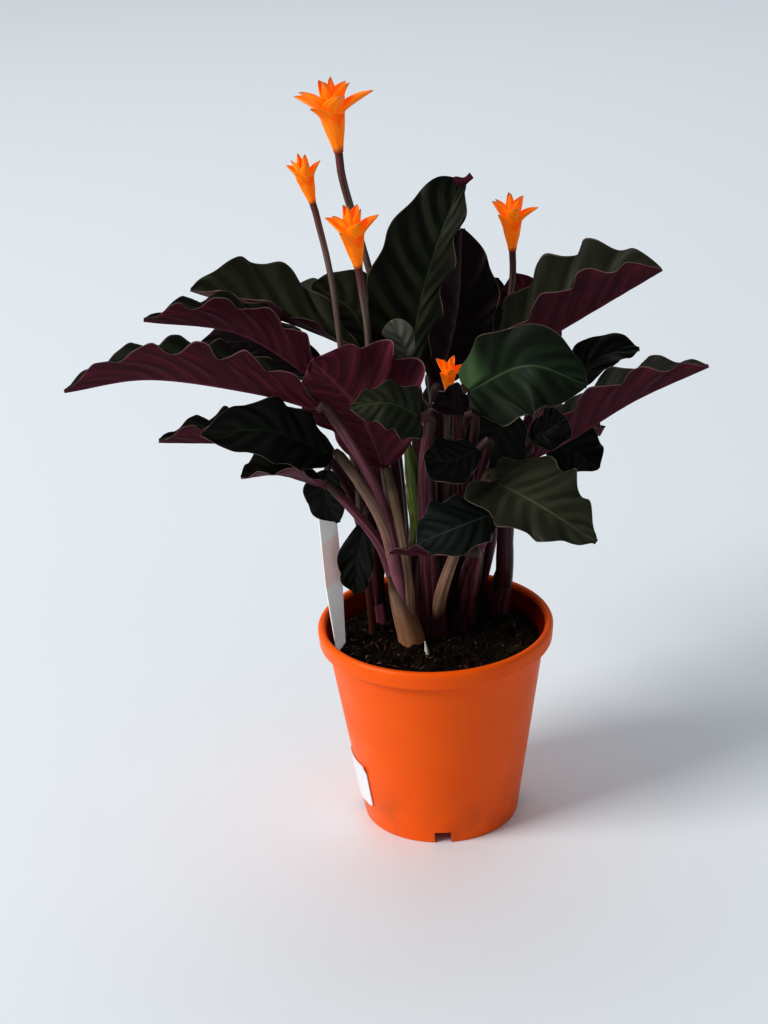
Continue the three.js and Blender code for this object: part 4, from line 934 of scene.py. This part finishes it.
# A near-black copy of the dark upper side: painted shade for blades deep inside the plant.
shade_painted_upper = upper_skin("blade_upper_shade_painted", (0.0016, 0.0023, 0.0013, 1), (0.010, 0.0125, 0.0075, 1),
                         (0.018, 0.024, 0.013, 1), 0.80, 0.15, 0.40)[0]
deep_upper = upper_skin("blade_upper_deep", (0.0036, 0.0058, 0.0045, 1), (0.017, 0.025, 0.019, 1),
                        (0.050, 0.072, 0.048, 1), 0.80, 0.20, 0.42)[0]
olive_upper = upper_skin("blade_upper_olive", (0.0150, 0.0170, 0.0078, 1), (0.044, 0.049, 0.025, 1),
                         (0.075, 0.085, 0.048, 1), 0.60, 0.15, 0.48)[0]
sage_upper = upper_skin("blade_upper_sage", (0.085, 0.090, 0.070, 1), (0.17, 0.18, 0.145, 1),
                        (0.22, 0.23, 0.18, 1))[0]
green_upper, tree, shader, colour = upper_skin(
    "blade_upper_green", (0.0052, 0.0098, 0.0042, 1), (0.019, 0.033, 0.0145, 1), (0.055, 0.085, 0.042, 1),
    0.65, 0.12, 0.50)
share, across, pleat = growth_marks(tree)
base_lobe = times(tree, span(tree, share, 0.10, 0.30, 1.0, 0.0), span(tree, across, -0.05, -0.25))
young_green = blend(tree, times(tree, base_lobe, 0.85), colour, (0.078, 0.140, 0.056, 1))
tree.links.new(young_green, shader.inputs["Base Color"])
wine_under = under_skin("blade_under_wine", (0.040, 0.0040, 0.0105, 1), (0.165, 0.023, 0.046, 1),
                        (0.16, 0.042, 0.055, 1))
shaded_under = under_skin("blade_under_shaded", (0.0042, 0.0010, 0.0019, 1), (0.018, 0.0038, 0.0078, 1),
                          (0.024, 0.0085, 0.0090, 1))
margin_line, tree, shader = new_material("blade_margin", roughness=0.55)
rosy = span(tree, mottle(tree, 120.0), 0.4, 0.65)
pale = blend(tree, rosy, (0.21, 0.14, 0.115, 1), (0.13, 0.060, 0.062, 1))
tree.links.new(pale, shader.inputs["Base Color"])

# Each blade's two sides. The others are dark above and wine below. The black and shaded skins are darker
# copies, painted shade for blades deep inside the plant.
BLADE_SKINS = {}
for *sides, numbers in (
        (olive_upper, wine_under, (3, 11, 13, 17, 22, 31, 36)),
        (deep_upper, wine_under, (23,)),
        (sage_upper, wine_under, (14,)),
        (green_upper, wine_under, (18, 24, 33)),
        (shade_painted_upper, shaded_under, (4, 5, 19, 21, 26, 27, 29, 30)),
        (shade_painted_upper, wine_under, (6, 8, 9, 10)),
        (dark_upper, shaded_under, (16,))):
    for number in numbers:
        BLADE_SKINS["leaf_%02d" % number] = sides

# The tip of the tallest leaf has dried and curled over, so that its wine side shows.
CURLED_TIPS = {"leaf_15": ([(16, 31, 354), (18, 30, 359), (23, 28, 359), (26, 26, 362)],
                           [(21, 31, 348), (22, 30, 352), (25, 28, 356), (28, 26, 359)])}
TIP_ROWS = 14
TIP_COLUMNS = 8
TIP_CUP = np.array([0.0, -1.4, 0.3])


def curled_tip(left, right, thickness):
    """A small sheet between two edges, a little cupped toward the front."""
    shares = np.linspace(0, 1, TIP_ROWS + 1)
    across = np.linspace(0, 1, TIP_COLUMNS + 1)
    first, second = along_path(left, shares), along_path(right, shares)
    rows = np.array([[first[row] * (1 - s) + second[row] * s + TIP_CUP * math.sin(math.pi * s) * (1 - share)
                      for s in across] for row, share in enumerate(shares)])
    normal = unit(np.cross(np.gradient(rows, axis=1), np.gradient(rows, axis=0)))
    faces = sheet_faces(TIP_ROWS, TIP_COLUMNS)[0]
    marks = [(0.5, 0.1 + 0.8 * s, 0.6 * share) for share in shares for s in across]
    above, below = rows + normal * thickness / 2, rows - normal * thickness / 2
    return list(above.reshape(-1, 3)) + list(below.reshape(-1, 3)), faces, marks + marks, 1


for leaf_name, sizes in LEAVES.items():
    leaf = {**BLADE, **sizes}
    blade = blade_shape(leaf, max(LEAST_ROWS, int(leaf["waves"] * ROWS_TO_A_WAVE)))
    if leaf_name in CURLED_TIPS:
        blade.add(*curled_tip(*CURLED_TIPS[leaf_name], BLADE_THICKNESS))
    skins = [*BLADE_SKINS.get(leaf_name, (dark_upper, wine_under)), margin_line]
    settle(blade.make("blade_" + leaf_name[5:], skins), "leaf", leaf_name)

# ---------------------------------------------------------------------------------------------- young growth
# The newest leaf comes up rolled like a scroll between the stalks, bright green until it opens. In front a
# pale sprout has only just broken the soil.

ROLLED_LEAF = [(-13, 10, SOIL_LEVEL - 12), (-13, 8, 140), (-7, 4, 175), (-9, 0, 201), (-12, -3, 228)]
ROLLED_LEAF_RADII = [1.4, 1.4, 2.0, 4.0, 5.4, 4.6, 1.0]
SPROUT = [(-5, -25, SOIL_LEVEL - 8), (-5, -25, SOIL_LEVEL), (-6, -25, SOIL_LEVEL + 9)]
SPROUT_RADII = [1.4, 1.5, 1.35, 0.9, 0.35]


def scrolled(turn, share):
    """One turn of the blade overlaps the next, with the free edge winding slowly up."""
    return 0.9 + 0.2 * ((turn / (2 * math.pi) + 1.3 * share) % 1.0)


young_skin, tree, shader = new_material("young_leaf_skin", roughness=0.38, sheen_weight=0.1)
fibres = use_group(tree, streaks, {"Around": 22.0, "Along": 3.5})
streak = span(tree, fibres["Lines"], 0.35, 0.65)
shade = blend(tree, streak, (0.085, 0.13, 0.020, 1), (0.30, 0.40, 0.07, 1))
shade = blend(tree, span(tree, fibres["Cloud"], 0.5, 0.7, 0.0, 0.4), shade, (0.10, 0.06, 0.03, 1))
shade = blend(tree, span(tree, growth_marks(tree)[0], 0.46, 0.56, 1.0, 0.0), shade, (0.075, 0.020, 0.024, 1))
tree.links.new(shade, shader.inputs["Base Color"])
emboss(tree, shader, fibres["Lines"], 0.3, 0.0004)

young = Shape()
young.add(*swept(ROLLED_LEAF, ROLLED_LEAF_RADII, 60, 24, scrolled))
settle(young.make("rolled_young_leaf", [young_skin]), "young_leaf", "rolled_leaf")

sprout_skin, tree, shader = new_material("sprout_skin", roughness=0.45, subsurface_weight=0.1)
fibres = use_group(tree, streaks, {"Around": 9.0, "Along": 2.0})
streak = span(tree, fibres["Lines"], 0.4, 0.6)
shade = blend(tree, streak, (0.72, 0.66, 0.50, 1), (0.86, 0.83, 0.72, 1))
tree.links.new(shade, shader.inputs["Base Color"])
sprout = Shape()
sprout.add(*swept(SPROUT, SPROUT_RADII, 16, 14, scrolled))
settle(sprout.make("pale_sprout", [sprout_skin]), "sprout", "sprout")

# ---------------------------------------------------------------------------------------------- flowers
# Each flower head stands on a slim hairy stem of its own. Its waxy bracts wrap a narrow vase one over the
# other in a spiral, and their pointed tips turn outward. They are orange, redder inside and olive-brown at
# the tips; a little light passes into them, and they are also painted with a faint glow of their own colour.

FLOWERS = {
    "flower_1": dict(
        stalk=[(-8, 18), (-14, 16, 240), (-27, 12, 311), (-39, 14, 361), (-41, 15, 378)],
        size=(39, 48), bracts=11, turn=95),
    "flower_2": dict(
        stalk=[(-35, 7), (-42, -1, 236), (-47, 1, 309), (-53, 0, 347), (-55, 0, 356)],
        size=(27, 21), bracts=9, turn=100),
    "flower_3": dict(
        stalk=[(-17, 4), (-28, -4, 249), (-30, -7, 292), (-32, -9, 315), (-33, -10, 324)],
        size=(35, 32), bracts=10, turn=101),
    "flower_4": dict(
        stalk=[(22, 29), (36, 38, 220), (46, 40, 286), (48, 40, 302), (48, 40, 314)],
        size=(32, 30), bracts=10, turn=84),
    "flower_5": dict(
        stalk=[(6, 19), (8, 16, 180), (10, 2, 230), (11, -5, 252)],
        size=(23, 20), bracts=8, turn=90),
}
GOLDEN_ANGLE = math.radians(137.5)
BRACT_ROWS = 24
BRACT_COLUMNS = 10

stem_skin, tree, shader = new_material("flower_stem_skin", roughness=0.6, specular_ior_level=0.15)
fibres = use_group(tree, streaks, {"Around": 10.0, "Along": 6.0})
streak = span(tree, fibres["Lines"], 0.35, 0.65)
shade = blend(tree, streak, (0.095, 0.058, 0.048, 1), (0.23, 0.165, 0.135, 1))
near_head = span(tree, growth_marks(tree)[0], 0.90, 1.0, 0.0, 0.85)
shade = blend(tree, near_head, shade, (0.12, 0.030, 0.030, 1))
low_down = span(tree, parted(tree, place_in_metres(tree))[2], 0.130, 0.175, 0.9, 0.0)
shade = blend(tree, low_down, shade, (0.115, 0.026, 0.018, 1))
tree.links.new(shade, shader.inputs["Base Color"])
emboss(tree, shader, mottle(tree, 1500.0), 0.3, 0.0003)

petal_skin, tree, shader = new_material(
    "bract_skin", roughness=0.45, specular_ior_level=0.15, subsurface_weight=0.12, subsurface_scale=0.004,
    emission_strength=0.17)
shader.inputs["Subsurface Radius"].default_value = (1.0, 0.35, 0.08)
share, across, inner = growth_marks(tree)
rib_place = joined(tree, times(tree, share, 2.0), times(tree, across, 9.0), times(tree, inner, 31.0))
ribs = mottle(tree, 1.0, 3.0, place=rib_place)
orange = blend(tree, span(tree, ribs, 0.35, 0.65), (1.0, 0.185, 0.004, 1), (1.0, 0.290, 0.010, 1))
orange = blend(tree, span(tree, inner, 0.25, 1.0, 0.0, 0.75), orange, (1.0, 0.115, 0.002, 1))
orange = blend(tree, span(tree, share, 0.13, 0.0, 0.0, 0.90), orange, (0.16, 0.030, 0.024, 1))
orange = blend(tree, span(tree, share, 0.90, 1.0, 0.0, 0.85), orange, (0.36, 0.17, 0.060, 1))
tree.links.new(orange, shader.inputs["Base Color"])
# The bracts' own colour is fed to emission: a painted glow.
tree.links.new(orange, shader.inputs["Emission Color"])
emboss(tree, shader, ribs, 0.25, 0.0004)


def funnel_radius(height, z):
    """Radius of the funnel that the bracts wrap, in millimetres."""
    return height * (0.054 + 0.178 * (max(z, 0.0) / (0.62 * height)) ** 1.1)


def bract_points(height, width, inward, spread, turn, shares, across):
    """Points of one bract, which hugs the funnel from the stem up and then bends out to its sharp tip."""
    stations = [(funnel_radius(height, height * z) * (1 - 0.30 * inward * (z > 0.1)), 0, height * z)
                for z in (0.0, 0.14, 0.28)]
    stations.append((height * (0.165 - 0.07 * inward), 0, height * (0.40 + 0.16 * inward)))
    stations.append((height * (0.215 - 0.10 * inward), 0, height * (0.50 + 0.24 * inward)))
    stations.append((width / 2 * spread, 0, height * (0.58 + 0.42 * inward ** 0.65)))
    line = along_path(stations, shares)
    forward = unit(np.gradient(line, axis=0))
    inner_way = np.stack([-forward[:, 2], 0 * shares, forward[:, 0]], -1)
    leaves_funnel = 0.50 + 0.14 * inward
    free = np.clip((shares - leaves_funnel) / (1 - leaves_funnel), 0, 1)
    half = height * (0.085 + 0.125 * np.clip(shares / 0.42, 0, 1)) * (1 - free ** 1.7) + 0.12
    rows = np.zeros((len(shares), len(across), 3))
    for row, (radius, _, z) in enumerate(line):
        for column, s in enumerate(across):
            swing = s * min(half[row] / max(radius, 1.2), 1.5)
            cup = (0.12 + 0.62 * free[row]) * half[row] * s * s
            near = radius + cup * inner_way[row][0]
            rows[row, column] = (near * math.cos(turn + swing), near * math.sin(turn + swing),
                                 z + cup * inner_way[row][2])
    return rows


def bloom_shape(height, width, bracts, first_turn):
    """A flower head that stands on its base: its bracts in their spiral, and the closed heart they wrap."""
    bloom = Shape()
    shares = np.linspace(0, 1, BRACT_ROWS + 1)
    across = np.linspace(-1, 1, BRACT_COLUMNS + 1)
    faces = sheet_faces(BRACT_ROWS, BRACT_COLUMNS)[0]
    for bract in range(bracts):
        inward = bract / (bracts - 1)
        spread = 0.62 if bract < 2 else 1 - 0.9 * inward ** 1.8
        turn = first_turn + bract * GOLDEN_ANGLE + 0.09 * math.sin(5 * bract)
        rows = bract_points(height, width, inward, spread, turn, shares, across)
        normal = unit(np.cross(np.gradient(rows, axis=1), np.gradient(rows, axis=0)))
        thick = 0.34 - 0.18 * shares[:, None, None]
        outer = (rows + normal * thick).reshape(-1, 3)
        inner = (rows - normal * thick).reshape(-1, 3)
        face_out = [(share, s, inward * 0.45) for share in shares for s in across]
        face_in = [(share, s, 0.35 + inward * 0.65) for share in shares for s in across]
        bloom.add(list(outer) + list(inner), faces, face_out + face_in)
    heart = [(0, 0.0)]
    heart += [(funnel_radius(height, height * z) * 0.86, height * z) for z in (0.0, 0.1, 0.2, 0.3, 0.4, 0.5)]
    heart += [(height * 0.12, height * 0.60), (height * 0.05, height * 0.66), (0, height * 0.67)]
    vertices, heart_faces = turned(heart, 24)
    heart_marks = [(0.1 + 0.8 * v[2] / height, 0.0, 1.0) for v in vertices]
    bloom.add([np.array(v) for v in vertices], heart_faces, heart_marks)
    return bloom


STEM_RADII = np.array([3.0, 2.2, 1.95, 1.85, 1.85, 2.1])
STEM_GIRTHS = {"flower_2": 0.84, "flower_4": 0.88}

for flower_name, flower in FLOWERS.items():
    number = flower_name[-1]
    x, y = flower["stalk"][0]
    stem = Shape()
    path = [(x, y, SOIL_LEVEL - STALK_DEPTH), (x, y, SOIL_LEVEL + 6), *flower["stalk"][1:]]
    stem.add(*swept(path, STEM_RADII * STEM_GIRTHS.get(flower_name, 1.0), 64, 14))
    settle(stem.make("flower_stem_" + number, [stem_skin]), "flower_stalk", flower_name + "_stalk")
    top = np.array(flower["stalk"][-1], float)
    axis = unit(top - np.array(flower["stalk"][-2], float))
    height, width = flower["size"]
    head = bloom_shape(height, width, flower["bracts"], math.radians(flower["turn"]))
    upright = np.array(Vector((0, 0, 1)).rotation_difference(Vector(axis)).to_matrix())
    head.vertices = [upright @ np.array(v) + top + axis * FIT_GAP for v in head.vertices]
    settle(head.make("flower_head_" + number, [petal_skin], 60), "bract", flower_name + "_head")

# ---------------------------------------------------------------------------------------------- plant label
# A thin white polypropylene tag, die-cut with round corners and a pointed foot, pushed in at the wall. It
# has bowed a little in the damp. A faint band of colour crosses it, and it is bare.

LABEL_WIDTH = 18.0
LABEL_HEIGHT = 118.0
LABEL_POINT = 62.0
LABEL_THICKNESS = 0.6
LABEL_FOOT = np.array([-51.6, -7.0, SOIL_LEVEL - 22])
LABEL_LEAN = math.radians(-2.6)
LABEL_TURN = math.radians(62)
LABEL_CORNER = 2.5
LABEL_FOOT_HALF = 3.0
LABEL_ROWS = 39
LABEL_COLUMNS = 8

label = Shape()
spin = np.array(Matrix.Rotation(LABEL_LEAN, 3, "Y") @ Matrix.Rotation(LABEL_TURN, 3, "Z"))
vertices, marks = [], []
for side in (-1, 1):
    for share in np.linspace(0, 1, LABEL_ROWS + 1):
        z = share * LABEL_HEIGHT
        widening = (LABEL_WIDTH / 2 - LABEL_FOOT_HALF) * z / LABEL_POINT
        half = min(LABEL_FOOT_HALF + widening, LABEL_WIDTH / 2)
        from_top = LABEL_HEIGHT - z
        if from_top < LABEL_CORNER:
            rounding = max(LABEL_CORNER ** 2 - (LABEL_CORNER - from_top) ** 2, 0.0)
            half = LABEL_WIDTH / 2 - LABEL_CORNER + math.sqrt(rounding)
        for s in np.linspace(-1, 1, LABEL_COLUMNS + 1):
            bow = 0.25 * math.sin(math.pi * share) - 0.2 * s * s
            local = np.array([s * half, bow + side * LABEL_THICKNESS / 2, z])
            vertices.append(spin @ local + LABEL_FOOT)
            marks.append((share, s, 0.5))
label.add(vertices, sheet_faces(LABEL_ROWS, LABEL_COLUMNS)[0], marks)

# The tag glows faintly in its own colour: painted light that brightens its shaded face.
tag_plastic, tree, shader = new_material("white_tag_plastic", roughness=0.35, emission_strength=0.20)
share = growth_marks(tree)[0]
dirt = use_group(tree, grime, {"Patch Size": 0.012, "Height": 0.150})
tint = times(tree, span(tree, share, 0.50, 0.515), span(tree, share, 0.735, 0.72))
white = blend(tree, times(tree, tint, 0.55), (0.80, 0.80, 0.80, 1), (0.86, 0.55, 0.50, 1))
white = blend(tree, times(tree, dirt["Patches"], 0.5), white, (0.22, 0.16, 0.12, 1))
tree.links.new(white, shader.inputs["Base Color"])
tree.links.new(white, shader.inputs["Emission Color"])
settle(label.make("tag", [tag_plastic], 45), "label_plastic", "plant_label")

# ---------------------------------------------------------------------------------------------- wall sticker
# A coated paper label stuck on the pot's left wall, wrapped to its curve, with round corners and one corner
# that has begun to lift. It is bare.

STICKER_MIDDLE = math.radians(-163)
STICKER_SPAN = math.radians(34)
STICKER_BOTTOM = 14.0
STICKER_HEIGHT = 26.0
STICKER_COLUMNS = 28
STICKER_ROWS = 22
STICKER_CORNER = 2.2
STICKER_LAYERS = (0.95, 0.3)
half_wide = wall_radius(STICKER_BOTTOM + STICKER_HEIGHT / 2) * STICKER_SPAN / 2
half_high = STICKER_HEIGHT / 2
vertices = []
for layer in STICKER_LAYERS:
    for row in range(STICKER_ROWS + 1):
        for column in range(STICKER_COLUMNS + 1):
            u, v = column / STICKER_COLUMNS * 2 - 1, row / STICKER_ROWS * 2 - 1
            x, z = u * half_wide, v * half_high
            over_x = abs(x) - (half_wide - STICKER_CORNER)
            over_z = abs(z) - (half_high - STICKER_CORNER)
            if over_x > 0 and over_z > 0 and math.hypot(over_x, over_z) > STICKER_CORNER:
                shrink = STICKER_CORNER / math.hypot(over_x, over_z)
                x = math.copysign(half_wide - STICKER_CORNER + over_x * shrink, x)
                z = math.copysign(half_high - STICKER_CORNER + over_z * shrink, z)
            height = STICKER_BOTTOM + half_high + z
            lifted = 0.9 * max(0.0, u - 0.75) / 0.25 * max(0.0, v - 0.7) / 0.3
            radius = wall_radius(height) + layer + lifted
            turn = STICKER_MIDDLE + x / half_wide * STICKER_SPAN / 2
            vertices.append((radius * math.cos(turn), radius * math.sin(turn), height))
sticker = Shape()
sticker.add(vertices, sheet_faces(STICKER_ROWS, STICKER_COLUMNS)[0], [(0.0, 0.0, 0.0)] * len(vertices))

label_paper, tree, shader = new_material("coated_paper", roughness=0.42)
scuff = span(tree, mottle(tree, 130.0, 6.0), 0.5, 0.72, 0.0, 0.45)
white = blend(tree, scuff, (0.82, 0.83, 0.85, 1), (0.60, 0.57, 0.53, 1))
tree.links.new(white, shader.inputs["Base Color"])
emboss(tree, shader, mottle(tree, 1400.0, 3.0), 0.15, 0.0002)
settle(sticker.make("wall_label", [label_paper], 45), "sticker_paper", "sticker")

# ---------------------------------------------------------------------------------------------- studio
# A plain pale floor, a bright soft surround, and soft lights from the left and above. The camera looks down
# on the plant from a standing height.

FLOOR_HALF = 12
FLOOR_CORNERS = [(x * FLOOR_HALF, y * FLOOR_HALF, 0) for x, y in ((-1, -1), (1, -1), (1, 1), (-1, 1))]
floor_mesh = bpy.data.meshes.new("studio_floor")
floor_mesh.from_pydata(FLOOR_CORNERS, [], [(0, 1, 2, 3)])
floor = bpy.data.objects.new("studio_floor", floor_mesh)
bpy.context.scene.collection.objects.link(floor)
FLOOR_PAINT = (0.80, 0.835, 0.86, 1)
floor_paint = new_material("studio_floor_paint", base_color=FLOOR_PAINT, roughness=0.6)[0]
floor_mesh.materials.append(floor_paint)

world = bpy.data.worlds.new("studio_surround")
bpy.context.scene.world = world
world.use_nodes = True
world.node_tree.nodes["Background"].inputs["Color"].default_value = (0.86, 0.93, 1.0, 1)
world.node_tree.nodes["Background"].inputs["Strength"].default_value = 0.30


def soft_light(name, place, target, size, power, colour):
    lamp = bpy.data.lights.new(name, "AREA")
    lamp.shape = "RECTANGLE"
    lamp.size, lamp.size_y = size
    lamp.energy = power
    lamp.color = colour
    lamp_object = bpy.data.objects.new(name, lamp)
    aim = Vector(target) - Vector(place)
    lamp_object.rotation_euler = aim.to_track_quat("-Z", "Y").to_euler()
    lamp_object.location = place
    bpy.context.scene.collection.objects.link(lamp_object)


soft_light("window_left", (-2.9, -1.3, 2.5), (0, 0, 0.18), (1.8, 1.5), 114, (1.0, 0.985, 0.97))
soft_light("ceiling_panel", (0.1, 1.7, 2.3), (0.1, 1.7, 0), (2.8, 1.8), 19, (0.95, 0.98, 1.0))
bpy.context.scene.view_settings.view_transform = "Standard"
bpy.context.scene.view_settings.look = "Medium High Contrast"

camera_data = bpy.data.cameras.new("camera")
camera_data.sensor_fit = "AUTO"
camera_data.sensor_width = 36
camera_data.lens = 84.375
camera = bpy.data.objects.new("camera", camera_data)
bpy.context.scene.collection.objects.link(camera)
PITCH, ROLL, YAW = 0.41683, -0.04404, -0.02160
CAMERA_BACK, CAMERA_HEIGHT = 1.185484, 0.707553
ahead = Vector((math.sin(YAW) * math.cos(PITCH), math.cos(YAW) * math.cos(PITCH), -math.sin(PITCH)))
level = Vector((math.cos(YAW), -math.sin(YAW), 0))
upward = level.cross(ahead)
right = level * math.cos(ROLL) + upward * math.sin(ROLL)
above = upward * math.cos(ROLL) - level * math.sin(ROLL)
camera.matrix_world = Matrix((
    (right.x, above.x, -ahead.x, 0.0), (right.y, above.y, -ahead.y, -CAMERA_BACK),
    (right.z, above.z, -ahead.z, CAMERA_HEIGHT), (0, 0, 0, 1)))
bpy.context.scene.camera = camera
